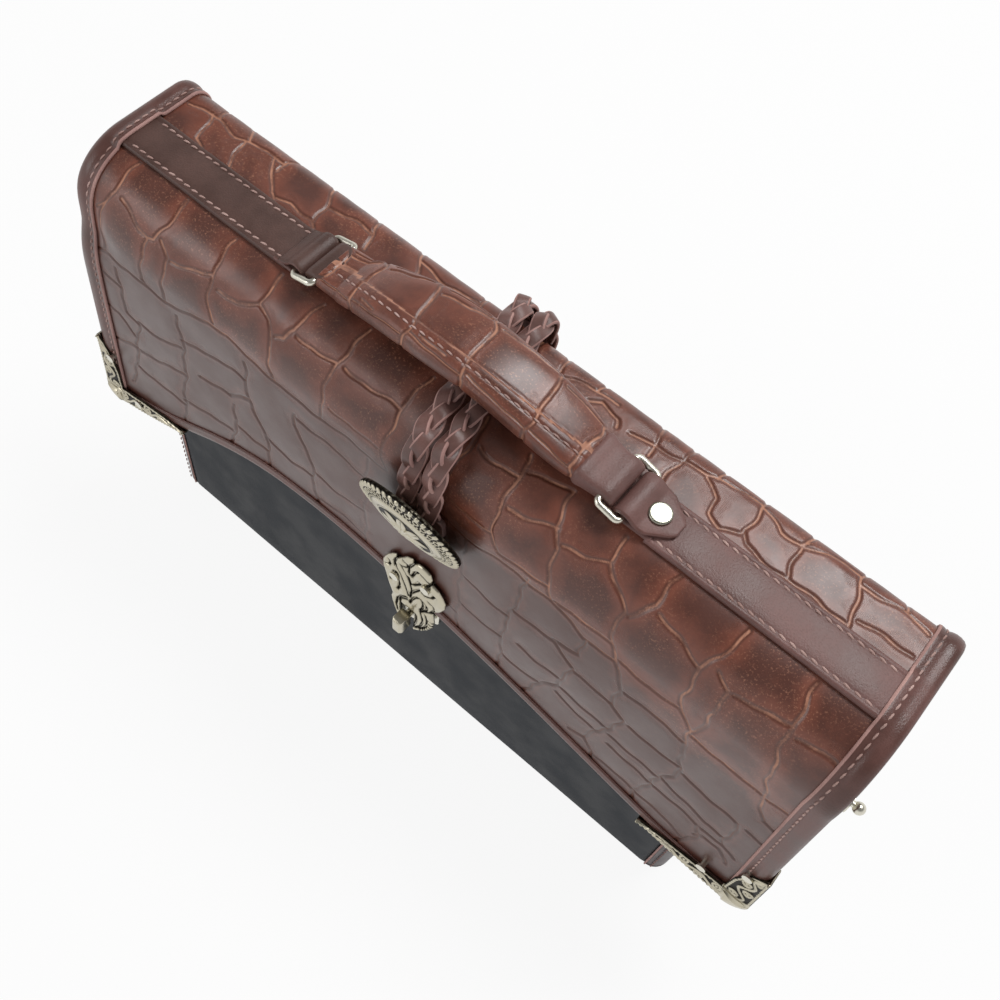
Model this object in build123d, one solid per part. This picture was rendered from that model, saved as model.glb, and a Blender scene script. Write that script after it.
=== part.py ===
from build123d import *
import math
import os

os.makedirs("parts", exist_ok=True)

# A leather flap-over briefcase, in millimetres, +Z up, +X to the right of its front, front towards -Y.
# The origin lies on the ground under the middle of the flap.

# Plies of leather, board and lining
flap_leather_t = 2.2
flap_lining_t = 1.0
skin_t = 1.6
board_t = 1.6
lining_t = 0.8
ply_gap = 0.1
soft_gap = 0.3
flap_build = flap_leather_t + ply_gap + flap_lining_t

# Flap: outer surface, seen from the end of the case
flap_length = 400.0
flap_top_z = 235.0
flap_front_y = -37.1
flap_back_y = 38.0
front_bend_r = 34.0
back_bend_r = 9.0
front_lean = 3.1
hinge_z = 190.0
corner_flare = 8.0
corner_z_left = 66.0
corner_z_right = 76.0
edge_points = [
    (-150, 88), (-127, 101), (-106, 110.5), (-85, 117.3), (-64, 120.4), (-40, 121), (-14, 117.4), (7, 114.5),
    (26, 112), (52, 107.5), (82, 100), (107, 93), (136, 85.5), (153, 81.5),
]

# Case body
flap_overhang = 25.0
body_length = flap_length - 2 * flap_overhang
body_foot_y = -38.5
body_rim_front_z = 196.0
body_rim_back_z = 226.0
body_corner_r = 8.5
body_foot_r = 4.0
divider_top_z = 172.0
divider_t = 1.8
lip_foot_z = 128.0
lip_length = body_length - 12.0

# Bound edges
binding_w = 10.5
edge_binding_w = 5.5
binding_t = 1.2

# Top straps, rings and grip
strap_w = 21.5
strap_t = 2.0
handle_x = -4.0
ring_pitch = 11.0
ring_wire = 3.0
ring_inside_w = 23.0
ring_reach = 82.5
ring_rest_tilt = 15.0
handle_lift = 4.0
rivet_x = handle_x + ring_reach + 9.8
tail_end_x = rivet_x + 8.7
rivet_d = 9.6
left_tail = 30.0
grip_w = 31.0
grip_t = 13.0
grip_end_w = 23.0
grip_end_t = 8.5
grip_half = 60.0
grip_rise = 11.5
cover_t = 1.6
grip_loop_t = 1.6
loop_w = 21.6

# Braided cords and round ornament
braid_d = 10.2
braid_pitch = 11.2
braid_x = 2.6
braid_slant = 0.134
braid_clear = 0.35
braid_front_end_z = 200.0
braid_back_end_z = 206.0
anchor_w = 27.0
anchor_h = 16.0
concho_d = 53.0
concho_t = 1.8
concho_dome = 5.0
concho_tilt = 9.0
concho_at = (8.5, -46.6, 194.0)
concho_post_d = 5.0

# Turn lock and its plate
lock_x = 7.0
lock_z = 93.0
lock_plate = (26.0, 17.0, 1.5)
lock_boss_d = 9.0
lock_stem_d = 4.0
lock_stem_clear = 0.05
key_size = (6.0, 7.0, 12.0)
clasp_t = 2.0
notch_w = 7.4
notch_top_z = 101.0
plate_seat = binding_t + ply_gap + 0.1

# Metal corners
corner_t = 1.5
corner_rivet_d = 2.8
corner_low_spot = (24.0, 12.0)
corner_side_spot = (6.0, 38.0)
clasp_spots = [(-2.0, 124.0), (16.0, 134.0)]
clasp_outline = [(-10, 127), (-5, 139), (4, 144), (12, 148.5), (19.5, 146), (26, 135), (24.5, 121),
                 (20.5, 109), (22, 97), (17, 83.5), (7, 79), (-2, 83.5), (-4, 95), (-7, 104), (-9.6, 114)]
corner_arm_low = 58.0
corner_arm_side = 50.0
corner_cap = 15.0

# Shoulder strap tabs and studs
tab_w = 18.0
tab_t = 3.0
tab_y = -13.0
tab_foot_z = 92.0
tab_flat_z = 124.0
tab_out_x = body_length / 2 + 31.0
tab_rivet_z = tab_foot_z + 12.0
tab_top_z = 181.0
stud_z = 171.0
stud_flange_d = 10.0
stud_ball_d = 5.4

small_rivet_d = 4.0
small_rivet_h = 1.0

# Worked out from the sizes above
lean = math.radians(front_lean)
back_bend_y = flap_back_y - back_bend_r
back_bend_z = flap_top_z - back_bend_r
front_bend_y = flap_front_y + front_bend_r
front_bend_z = flap_top_z - front_bend_r
front_start_z = front_bend_z + front_bend_r * math.sin(lean)
body_back_y = flap_back_y - flap_build - soft_gap
body_rim_y = flap_front_y + flap_build + 3 * soft_gap
hinge_y = flap_back_y + soft_gap
far = 600.0


def flap_face_y(z, out=0.0):
    """Y of the flap's front face at height z, moved out by a distance."""
    start_y = front_bend_y - front_bend_r * math.cos(lean)
    return start_y - (front_start_z - z) * math.tan(lean) - out / math.cos(lean)


def body_face_y(z, out=0.0):
    """Y of the case's leaning front face at height z, moved out by a distance."""
    return body_foot_y + (body_rim_y - body_foot_y) * z / body_rim_front_z - out


def save(name, shape):
    solids = list(shape.solids()) if not isinstance(shape, list) else shape
    made = Compound(children=solids) if len(solids) > 1 else solids[0]
    made.label = name
    export_step(made, f"parts/{name}.step")
    print(name, "solids", len(solids), "volume", round(sum(s.volume for s in solids), 1))
    return made


def slab(x0, x1, y0, y1, z0, z1):
    return Pos((x0 + x1) / 2, (y0 + y1) / 2, (z0 + z1) / 2) * Box(x1 - x0, y1 - y0, z1 - z0)


def along_y(face, y0=-far / 2, y1=far / 2):
    """A face drawn in X and Z, made solid between two values of Y."""
    return extrude(face.moved(Location((0, y0, 0))), amount=y1 - y0, dir=(0, 1, 0))


def xz_face(*edges):
    return make_face(Plane.XZ * Wire(list(edges)))


def xz_polygon(points):
    return make_face(Plane.XZ * Wire(Polyline(*points, close=True).edges()))


def rod(start, end, diameter):
    line = Vector(*end) - Vector(*start)
    place = Plane(origin=start, z_dir=line.normalized())
    return extrude(place * Circle(diameter / 2), amount=line.length)


def flap_path(depth, foot_z):
    """The flap's outline seen from the end, a depth below its outer surface."""
    back = Vector(0, flap_back_y - depth, hinge_z)
    a = Vector(0, flap_back_y - depth, back_bend_z)
    b = Vector(0, back_bend_y, flap_top_z - depth)
    c = Vector(0, front_bend_y, flap_top_z - depth)
    r = front_bend_r - depth
    out = Vector(0, -math.cos(lean), math.sin(lean))
    down = Vector(0, -math.sin(lean), -math.cos(lean))
    hub_b = Vector(0, back_bend_y, back_bend_z)
    hub_f = Vector(0, front_bend_y, front_bend_z)
    d = hub_f + out * r
    e = d + down * ((d.Z - foot_z) / math.cos(lean))
    half = math.radians(45)
    mid_b = hub_b + Vector(0, math.sin(half), math.cos(half)) * (back_bend_r - depth)
    turn = (math.pi / 2 - lean) / 2
    mid_f = hub_f + Vector(0, -math.sin(turn), math.cos(turn)) * r
    return [Line(back, a), ThreePointArc(a, mid_b, b), Line(b, c), ThreePointArc(c, mid_f, d), Line(d, e)]


def flap_layer(depth_out, depth_in, x0=-far / 2, x1=far / 2, foot_z=40.0):
    """All the material between two depths below the flap's outer surface."""
    outer = flap_path(depth_out, foot_z)
    inner = flap_path(depth_in, foot_z)
    ends = [Line(outer[0] @ 0, inner[0] @ 0), Line(outer[-1] @ 1, inner[-1] @ 1)]
    face = make_face(Wire(outer + inner + ends))
    return extrude(face.moved(Location((x0, 0, 0))), amount=x1 - x0, dir=(1, 0, 0))


def side_x(z, grow=0.0):
    """Half length of the flap at height z: straight above the bend, flared below."""
    drop = max(0.0, front_bend_z - z) / (front_bend_z - (corner_z_left + corner_z_right) / 2)
    return flap_length / 2 + corner_flare * drop + grow


def flap_outline(grow_side, grow_edge):
    """The flap seen from the front, moved out at its ends and down at its lower edge."""
    zl, zr = corner_z_left - grow_edge, corner_z_right - grow_edge
    points = [(-side_x(zl, grow_side), zl)]
    points += [(x, z - grow_edge) for x, z in edge_points]
    points += [(side_x(zr, grow_side), zr)]
    edge = Spline(*points)
    right = Polyline(points[-1], (side_x(front_bend_z, grow_side), front_bend_z),
                     (side_x(front_bend_z, grow_side), flap_top_z + 50))
    left = Polyline(points[0], (-side_x(front_bend_z, grow_side), front_bend_z),
                    (-side_x(front_bend_z, grow_side), flap_top_z + 50))
    top = Line(left @ 1, right @ 1)
    return xz_face(edge, *right.edges(), top, *left.edges())


def body_section(z, inset):
    x = body_length / 2 - inset
    y0, y1 = body_face_y(z) + inset, body_back_y - inset
    sketch = RectangleRounded(2 * x, y1 - y0, body_corner_r - inset)
    return Pos(0, (y0 + y1) / 2, z) * sketch


def body_block(inset, foot_z, top_z=260.0):
    """The case's outer form, every wall moved in by inset."""
    return Solid.make_loft([body_section(z, inset).face().outer_wire() for z in (foot_z, top_z)], True)


def under_rim(shape, drop=0.0):
    """Cuts the case's walls at its rim, which rises from the front to the back."""
    rim = Polyline((0, -far / 2, body_rim_front_z - drop), (0, body_rim_y, body_rim_front_z - drop),
                   (0, body_back_y, body_rim_back_z - drop), (0, far / 2, body_rim_back_z - drop),
                   (0, far / 2, far), (0, -far / 2, far), close=True)
    side = make_face(Wire(rim.edges())).moved(Location((-far / 2, 0, 0)))
    above = extrude(side, amount=far, dir=(1, 0, 0))
    return shape - above


# %% Case body
seam_x = body_length / 2 - body_corner_r
outer_block = body_block(0, 0)
foot_edges = outer_block.edges().filter_by_position(Axis.Z, -0.01, 0.01)
outer_block = outer_block.fillet(body_foot_r, foot_edges)
skin = under_rim(outer_block - body_block(skin_t, skin_t))
middle = slab(-seam_x, seam_x, -far / 2, far / 2, body_foot_r, far)
front_half = slab(-far / 2, far / 2, -far / 2, -10, 0, far)
lock_holes = [rod((lock_x + dx, 0, lock_z), (lock_x + dx, -80, lock_z), 2.6) for dx in (-9.5, 9.5)]
front_skin = skin & middle & front_half
for hole in lock_holes:
    front_skin -= hole
save("front_panel", front_skin)
save("back_panel", (skin & middle) - front_half)
save("bottom_panel", skin & slab(-seam_x, seam_x, -far / 2, far / 2, -1, body_foot_r))
tab_hole = rod((-far / 2, tab_y, tab_rivet_z), (far / 2, tab_y, tab_rivet_z), corner_rivet_d + 0.2)
save("gusset_left", skin & slab(-far / 2, -seam_x, -far / 2, far / 2, -1, far) - tab_hole)
save("gusset_right", skin & slab(seam_x, far / 2, -far / 2, far / 2, -1, far) - tab_hole)

board_in = skin_t + ply_gap
lining_in = board_in + board_t + ply_gap
room_in = lining_in + lining_t
boards = under_rim(body_block(board_in, board_in) - body_block(board_in + board_t, board_in + board_t), 2)
flat = slab(-seam_x, seam_x, -far / 2, far / 2, board_in + board_t, far)
front_stiff = boards & flat & front_half
for hole in lock_holes:
    front_stiff -= hole
save("front_board", front_stiff)
save("back_board", (boards & flat) - front_half)
save("base_board", boards & slab(-seam_x, seam_x, -far / 2, far / 2, 0, board_in + board_t))
lining = under_rim(body_block(lining_in, lining_in) - body_block(room_in, room_in), 1)
save("inner_lining", lining)
divider_x = body_length / 2 - room_in - soft_gap
divider_y = (body_foot_y + body_back_y) / 2
save("divider", slab(-divider_x, divider_x, divider_y - divider_t / 2, divider_y + divider_t / 2,
                     room_in + soft_gap, divider_top_z))
lip = slab(-lip_length / 2, lip_length / 2, flap_back_y - flap_build, flap_back_y,
           lip_foot_z, hinge_z - soft_gap)
save("back_lip", lip)

# %% Flap: leather, lining and bound edges
flap_out = Vector(0, -math.cos(lean), math.sin(lean))


def on_flap(x, z, out=0.0):
    """A point on the flap's leaning front face, moved straight out of it."""
    return Vector(x, flap_face_y(z), z) + flap_out * out


def flap_rivet(x, z, top, low, d):
    """A headed rivet through the flap from a depth inside it to a height outside it."""
    shank = rod(on_flap(x, z, low), on_flap(x, z, top), d)
    cap = rod(on_flap(x, z, top + 0.05), on_flap(x, z, top + 0.05 + small_rivet_h), small_rivet_d + 1)
    foot = rod(on_flap(x, z, low - 0.05 - small_rivet_h), on_flap(x, z, low - 0.05), small_rivet_d)
    return (shank + rod(on_flap(x, z, low - 0.1), on_flap(x, z, top + 0.1), d)) + cap + foot


corner_spots = []
for side, zc in ((-1, corner_z_left), (1, corner_z_right)):
    low_in, low_up = corner_low_spot
    side_in, side_up = corner_side_spot
    corner_spots += [(side * (side_x(zc) - low_in), zc + low_up),
                     (side * (side_x(zc + side_up) - side_in), zc + side_up)]
rivet_spots = corner_spots + clasp_spots
holes = [rod(on_flap(x, z, 12), on_flap(x, z, -12), corner_rivet_d + 0.2) for x, z in rivet_spots]
holes.append(rod((concho_at[0], 0, concho_at[2]), (concho_at[0], -80, concho_at[2]), concho_post_d + 0.2))
flap_front = along_y(flap_outline(0, 0))
flap_ply = flap_layer(0, flap_leather_t) & flap_front
flap_inner = flap_layer(flap_leather_t + ply_gap, flap_build) & flap_front
for hole in holes:
    flap_ply -= hole
    flap_inner -= hole
save("flap_leather", flap_ply)
save("flap_lining", flap_inner)

bound = flap_layer(-binding_t - ply_gap, flap_build + binding_t + ply_gap, foot_z=30)
kept_out = flap_layer(-ply_gap, flap_build + ply_gap, foot_z=30) & along_y(flap_outline(ply_gap, ply_gap))
grown = along_y(flap_outline(binding_t + ply_gap, binding_t + ply_gap))
shell = (bound & grown) - kept_out
lower_strip = grown - along_y(flap_outline(far / 4, -edge_binding_w))
for side, name in ((-1, "binding_left"), (1, "binding_right")):
    inner = along_y(xz_polygon([(side * (side_x(z) - binding_w), z) for z in (0, front_bend_z, far / 2)]
                               + [(side * far / 2, far / 2), (side * far / 2, 0)]))
    strip = shell & inner
    for hole in holes:
        strip -= hole
    save(name, strip)
    lower_strip = lower_strip - inner
edge_strip = shell & lower_strip & slab(-far / 2, far / 2, -far / 2, 0, 0, front_bend_z)
for hole in holes:
    edge_strip -= hole
save("edge_binding", edge_strip)


# %% Top straps with the loops that hold the rings
strap_seat_z = flap_top_z + ply_gap
bar_z = strap_seat_z + strap_t + soft_gap + ring_wire / 2
eye_r = ring_wire / 2 + soft_gap
strap_end_x = flap_length / 2 - binding_w - soft_gap


def strap_outline(bar_x, rise_start, tail_x, tail_under):
    """Strap seen from the side, to the right of its ring: one ply under the bar, one over it."""
    low, high = strap_seat_z, strap_seat_z + strap_t
    r_in, r_out = eye_r, eye_r + strap_t
    lift = high + ply_gap
    run = 4.6
    if tail_under:
        outer = [(tail_x, low), (bar_x, bar_z - r_out)]
        turn_out = ThreePointArc((bar_x, bar_z - r_out), (bar_x - r_out, bar_z), (bar_x, bar_z + r_out))
        turn_in = ThreePointArc((bar_x, bar_z - r_in), (bar_x - r_in, bar_z), (bar_x, bar_z + r_in))
        upper = [(bar_x, bar_z + r_out), (bar_x + 1.2, bar_z + r_out), (bar_x + run, lift + strap_t),
                 (rise_start, lift + strap_t),
                 (rise_start + run, high), (strap_end_x, high), (strap_end_x, low),
                 (rise_start + run, low), (rise_start, lift), (bar_x + run, lift),
                 (bar_x + 1.2, bar_z + r_in), (bar_x, bar_z + r_in)]
        lower = [(bar_x, bar_z - r_in), (tail_x, high), (tail_x, low)]
    else:
        outer = [(strap_end_x, low), (bar_x, bar_z - r_out)]
        turn_out = ThreePointArc((bar_x, bar_z - r_out), (bar_x - r_out, bar_z), (bar_x, bar_z + r_out))
        turn_in = ThreePointArc((bar_x, bar_z - r_in), (bar_x - r_in, bar_z), (bar_x, bar_z + r_in))
        upper = [(bar_x, bar_z + r_out), (bar_x + 1.2, bar_z + r_out), (bar_x + run, lift + strap_t),
                 (tail_x, lift + strap_t), (tail_x, lift), (bar_x + run, lift),
                 (bar_x + 1.2, bar_z + r_in), (bar_x, bar_z + r_in)]
        lower = [(bar_x, bar_z - r_in), (strap_end_x, high), (strap_end_x, low)]
    edges = Polyline(*outer).edges() + [turn_out] + Polyline(*upper).edges() + [turn_in]
    return xz_face(*edges, *Polyline(*lower).edges())


right_bar_x = handle_x + ring_reach
left_bar_x = ring_reach - handle_x
strap_right = along_y(strap_outline(right_bar_x, 0, tail_end_x, False), -strap_w / 2, strap_w / 2)
tongue_y = strap_w / 2 - 5.0
for y_side in (-1, 1):
    strap_right -= slab(rivet_x - 1, tail_end_x + 1, *sorted((y_side * tongue_y, y_side * strap_w)),
                        strap_seat_z + strap_t + ply_gap / 2, bar_z + 20)
strap_left = along_y(strap_outline(left_bar_x, left_bar_x + left_tail + 4, left_bar_x + left_tail, True),
                     -strap_w / 2, strap_w / 2).mirror(Plane.YZ)
hole_d = small_rivet_d - 1.0
strap_right -= rod((rivet_x, 0, flap_top_z), (rivet_x, 0, far / 2), hole_d)
save("strap_right", strap_right)
save("strap_left", strap_left)
tail_top_z = strap_seat_z + 2 * strap_t + ply_gap
upright = (Align.CENTER, Align.CENTER, Align.MIN)
rivet_cap = Pos(rivet_x, 0, tail_top_z + ply_gap) * Cylinder(rivet_d / 2, 1.6, align=upright)
rivet_cap = rivet_cap.fillet(0.9, rivet_cap.edges().group_by(Axis.Z)[-1])
rivet_shank = rod((rivet_x, 0, strap_seat_z + 0.2), (rivet_x, 0, tail_top_z + ply_gap), hole_d - 0.2)
save("strap_rivet", rivet_cap + rivet_shank)

# %% Rings
tilt = math.radians(ring_rest_tilt)
ring_width = ring_inside_w + ring_wire


def ring(bar_x, side):
    """A wire ring lying from its strap's bar towards the grip, tilted up at the grip's end."""
    x_dir = (-side * math.cos(tilt), 0, math.sin(tilt))
    plane = Plane(origin=(bar_x, 0, bar_z), x_dir=x_dir, z_dir=Vector(*x_dir).cross(Vector(0, 1, 0)))
    path = (Pos(ring_pitch / 2, 0) * RectangleRounded(ring_pitch, ring_width, 2.0)).face().outer_wire()
    path = plane * path
    start = path @ 0
    section = Plane(origin=start, z_dir=path % 0) * Circle(ring_wire / 2)
    return sweep(section, path=path)


save("ring_right", ring(right_bar_x, 1))
save("ring_left", ring(handle_x - ring_reach, -1))

# %% Grip: core, cover and the two end loops
inner_bar_x = ring_reach - ring_pitch * math.cos(tilt)
inner_bar_z = bar_z + ring_pitch * math.sin(tilt)
lifted = math.asin(math.sin(tilt) + handle_lift / ring_pitch)
bar_drift = ring_pitch * (math.cos(tilt) - math.cos(lifted))
ring_turn = lifted - tilt
slot_r = ring_wire / 2 + soft_gap + 0.1
grip_end_z = inner_bar_z + 1.0


def grip_form(inset, reach):
    """Padded grip: flat-sided rounded sections, bowed up and thicker in the middle."""
    sections = []
    steps = 8
    for i in range(steps + 1):
        u = -1 + 2 * i / steps
        bow = 1 - u * u
        w = grip_end_w + (grip_w - grip_end_w) * bow ** 0.6 - 2 * inset
        t = grip_end_t + (grip_t - grip_end_t) * bow ** 0.6 - 2 * inset
        z = grip_end_z + grip_rise * bow
        plane = Plane(origin=(handle_x + u * reach, 0, z), x_dir=(0, 1, 0), z_dir=(1, 0, 0))
        sections.append((plane * RectangleRounded(w, t, 0.42 * t)).face().outer_wire())
    return Solid.make_loft(sections, False)


core = grip_form(cover_t + ply_gap, grip_half)
save("grip_core", core)
save("grip_cover", grip_form(0, grip_half) - grip_form(cover_t, grip_half + 0.02))


def grip_end(side):
    """Folded leather loop from the end of the grip round the inner bar of its ring."""
    x0 = grip_half + ply_gap
    top, low = grip_end_z + grip_end_t / 2 - 0.6, grip_end_z - grip_end_t / 2 + 0.6
    hub_a, hub_b = inner_bar_x, inner_bar_x + bar_drift
    r_out = slot_r + grip_loop_t
    outer = [Line((x0, low), (hub_b, inner_bar_z - r_out)),
             ThreePointArc((hub_b, inner_bar_z - r_out), (hub_b + r_out, inner_bar_z),
                           (hub_b, inner_bar_z + r_out)),
             Line((hub_b, inner_bar_z + r_out), (x0, top)), Line((x0, top), (x0, low))]
    slot = Pos(handle_x + side * (hub_a + hub_b) / 2, 0, inner_bar_z) * extrude(
        Plane.XZ * SlotCenterToCenter(bar_drift, 2 * slot_r), amount=loop_w, both=True)
    body = along_y(xz_face(*outer), -loop_w / 2, loop_w / 2)
    if side < 0:
        body = body.mirror(Plane.YZ)
    return body.moved(Location((handle_x, 0, 0))) - slot


save("grip_end_right", grip_end(1))
save("grip_end_left", grip_end(-1))

# %% Braided cords, their anchor and the round ornament
braid_off = braid_d / 2 + braid_clear
back_end_y = flap_back_y + braid_off
front_end_y = flap_face_y(braid_front_end_z, braid_off)
braid_top_z = flap_top_z + braid_off


def braid_route(offset):
    """Corners of one cord's route: up the back, over the top and down the front."""
    front_top_y = flap_face_y(braid_top_z, braid_off)
    corners = [(back_end_y, braid_back_end_z), (back_end_y, braid_top_z), (front_top_y, braid_top_z),
               (front_end_y, braid_front_end_z)]
    return [(braid_x + offset - braid_slant * y, y, z) for y, z in corners]


for offset, name in ((-braid_pitch / 2, "braid_left"), (braid_pitch / 2, "braid_right")):
    route = braid_route(offset)
    radii = [back_bend_r + braid_off, front_bend_r + braid_off]
    path = FilletPolyline(*route, radius=radii)
    section = Plane(origin=path @ 0, z_dir=path % 0) * Circle(braid_d / 2)
    cord = sweep(section, path=path)
    share = cord.volume / (math.pi * braid_d ** 2 / 4 * path.length)
    print(name, "length", round(path.length, 1), "bend radii", radii, "volume share", round(share, 4))
    save(name, cord)

anchor_x = braid_x - braid_slant * back_end_y
anchor_top = braid_back_end_z - 0.2
anchor = slab(anchor_x - anchor_w / 2, anchor_x + anchor_w / 2, flap_back_y + ply_gap,
              flap_back_y + braid_off * 2 - 1.5, anchor_top - anchor_h * 0.6, anchor_top)
anchor = anchor.fillet(2.5, anchor.edges().filter_by(Axis.Z).sort_by(Axis.Y)[-2:])
save("braid_anchor", anchor)

# Round ornament, drawn flat about its own axis and then set leaning on the cords
dome_r = ((concho_d / 2) ** 2 + concho_dome ** 2) / (2 * concho_dome)
ball_out = Pos(0, 0, concho_dome - dome_r) * Sphere(dome_r)
ball_in = Pos(0, 0, concho_dome - dome_r - concho_t) * Sphere(dome_r)
disc = Cylinder(concho_d / 2, 2 * concho_dome + 2, align=upright)
dome = (disc & ball_out) - ball_in
rim = Cylinder(concho_d / 2, concho_t + 0.4, align=upright) - Cylinder(
    concho_d / 2 - 3.5, 3 * concho_t, align=upright)
face_dir = Vector(0, -math.cos(math.radians(concho_tilt)), -math.sin(math.radians(concho_tilt)))
concho_plane = Plane(origin=concho_at, x_dir=(1, 0, 0), z_dir=face_dir)
concho = concho_plane.location * (dome + rim)
post_z = concho_at[2]
post_back_y = flap_face_y(post_z) + flap_build / math.cos(lean)
post_front_y = concho_at[1] - 4.3
post = rod((concho_at[0], post_back_y - 0.1, post_z), (concho_at[0], post_front_y, post_z), concho_post_d)
post -= rod((concho_at[0], 0, post_z), (concho_at[0], post_back_y - 6, post_z), 2.6)
save("concho", concho + post)
keeper_t = 3.2
keeper_low_z = post_z - 9.0
keeper = flap_layer(-keeper_t - ply_gap, -ply_gap) & slab(
    concho_at[0] - 12, concho_at[0] + 12, -far / 2, 0, keeper_low_z, braid_front_end_z - 0.7)
post_hole = rod((concho_at[0], 0, post_z), (concho_at[0], -80, post_z), concho_post_d + 0.2)
save("concho_keeper", keeper - post_hole)
screw_y = post_back_y + 0.28
screw = rod((concho_at[0], screw_y, post_z), (concho_at[0], screw_y + 0.55, post_z), 7.0)
screw += rod((concho_at[0], screw_y + 0.2, post_z), (concho_at[0], post_back_y - 5.7, post_z), 2.4)
save("concho_screw", screw)

# %% Turn lock: base on the case's front, key with a captured stem
plate_w, plate_h, plate_t = lock_plate
base = body_block(-ply_gap - plate_t, 40, 160) - body_block(-ply_gap, 40, 160)
base = base & slab(lock_x - plate_w / 2, lock_x + plate_w / 2, -far / 2, -20,
                   lock_z - plate_h / 2, lock_z + plate_h / 2)
base = base.fillet(4.0, base.edges().filter_by(lambda e: abs((e @ 1 - e @ 0).Y) > 1.2 and e.length < 3))
boss_back = body_face_y(lock_z, ply_gap + plate_t / 2)
boss_front = flap_face_y(lock_z, plate_seat) + 0.7
flange_t = 2.4
pocket_y = boss_back + plate_t / 2 - 0.4 - flange_t
base += rod((lock_x, boss_back, lock_z), (lock_x, boss_front, lock_z), lock_boss_d)
base -= rod((lock_x, 0, lock_z), (lock_x, pocket_y - soft_gap, lock_z), lock_stem_d + 2 + 2 * soft_gap)
base -= rod((lock_x, 0, lock_z), (lock_x, -80, lock_z), lock_stem_d + 2 * lock_stem_clear)
lock_spots = [(lock_x - 9.5, lock_z), (lock_x + 9.5, lock_z)]
lock_rivets = []
board_face = body_face_y(lock_z) + board_in + board_t
for x, z in lock_spots:
    base -= rod((x, 0, z), (x, -80, z), 2.6)
    seat_y = body_face_y(z, ply_gap + plate_t)
    pin = rod((x, board_face - 0.2, z), (x, seat_y - 0.1, z), 2.4)
    lock_rivets.append(pin + rod((x, seat_y - 0.1, z), (x, seat_y - 0.9, z), 4.0))
save("turnlock_base", base)
save("turnlock_rivets", lock_rivets)
key_back_y = flap_face_y(lock_z - 6, plate_seat + clasp_t) - 0.5
key_x, key_y, key_z = key_size
bar = slab(lock_x - key_x / 2, lock_x + key_x / 2, key_back_y - key_y, key_back_y,
           lock_z - key_z / 2, lock_z + key_z / 2)
bar = bar.chamfer(1.2, None, bar.faces().sort_by(Axis.Y)[0].edges())
stem = rod((lock_x, pocket_y, lock_z), (lock_x, key_back_y - 1, lock_z), lock_stem_d)
flange = rod((lock_x, pocket_y + flange_t, lock_z), (lock_x, pocket_y, lock_z), lock_stem_d + 2)
save("turnlock_key", bar + stem + flange)

# %% Clasp plate with a notch the upright key passes through
plate_face = make_face(Plane.XZ * Wire([Spline(*clasp_outline, periodic=True).edge()]))
plate = flap_layer(-plate_seat - clasp_t, -plate_seat) & along_y(plate_face)
notch = slab(lock_x - notch_w / 2, lock_x + notch_w / 2, -far / 2, 0, 0, notch_top_z)
plate -= notch
clasp_rivets = []
for x, z in clasp_spots:
    plate -= rod(on_flap(x, z, 12), on_flap(x, z, -12), corner_rivet_d + 0.2)
    clasp_rivets.append(flap_rivet(x, z, plate_seat + clasp_t, -flap_build, corner_rivet_d))
save("clasp_plate", plate)
save("clasp_rivets", clasp_rivets)

# %% Metal corners over the bound edges
seat = binding_t + 2 * ply_gap
cap = flap_layer(-seat - corner_t, flap_build + seat + corner_t, foot_z=30)
cap = (cap & along_y(flap_outline(seat + corner_t, seat + corner_t))) - (
    flap_layer(-seat, flap_build + seat, foot_z=30) & along_y(flap_outline(seat, seat)))
cap = cap - along_y(flap_outline(-corner_cap, -corner_cap))
corner_rivets = []
for side, zc, name in ((-1, corner_z_left, "corner_left"), (1, corner_z_right, "corner_right")):
    reach = [side * (side_x(zc) - corner_arm_low), side * far / 2]
    arms = cap & slab(min(reach), max(reach), -far / 2, 0, 0, zc + corner_arm_side)
    for x, z in corner_spots:
        if x * side > 0:
            arms -= rod(on_flap(x, z, 12), on_flap(x, z, -12), corner_rivet_d + 0.2)
            depth = flap_build + seat + corner_t
            corner_rivets.append(flap_rivet(x, z, seat + corner_t, -depth, corner_rivet_d))
    save(name, arms)
save("corner_rivets", corner_rivets)

# %% Side tabs with ball studs for a shoulder strap
wall_x = body_length / 2 + ply_gap
tab_line = [(wall_x, tab_foot_z), (wall_x, tab_flat_z), (tab_out_x - tab_t, stud_z - 12),
            (tab_out_x - tab_t, tab_top_z)]
tab_back = [(x + tab_t, z) for x, z in reversed(tab_line)]
for side, name in ((1, "side_tab_right"), (-1, "side_tab_left")):
    tab = along_y(xz_polygon(tab_line + tab_back), tab_y - tab_w / 2, tab_y + tab_w / 2)
    tab -= rod((0, tab_y, stud_z), (far, tab_y, stud_z), 3.2)
    tab -= rod((0, tab_y, tab_rivet_z), (far, tab_y, tab_rivet_z), corner_rivet_d + 0.2)
    save(name, tab if side > 0 else tab.mirror(Plane.YZ))
inner_wall = body_length / 2 - skin_t
tab_face = tab_out_x - tab_t


def stud_rod(x0, x1, diameter, z=stud_z):
    return rod((x0, tab_y, z), (x1, tab_y, z), diameter)


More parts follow.
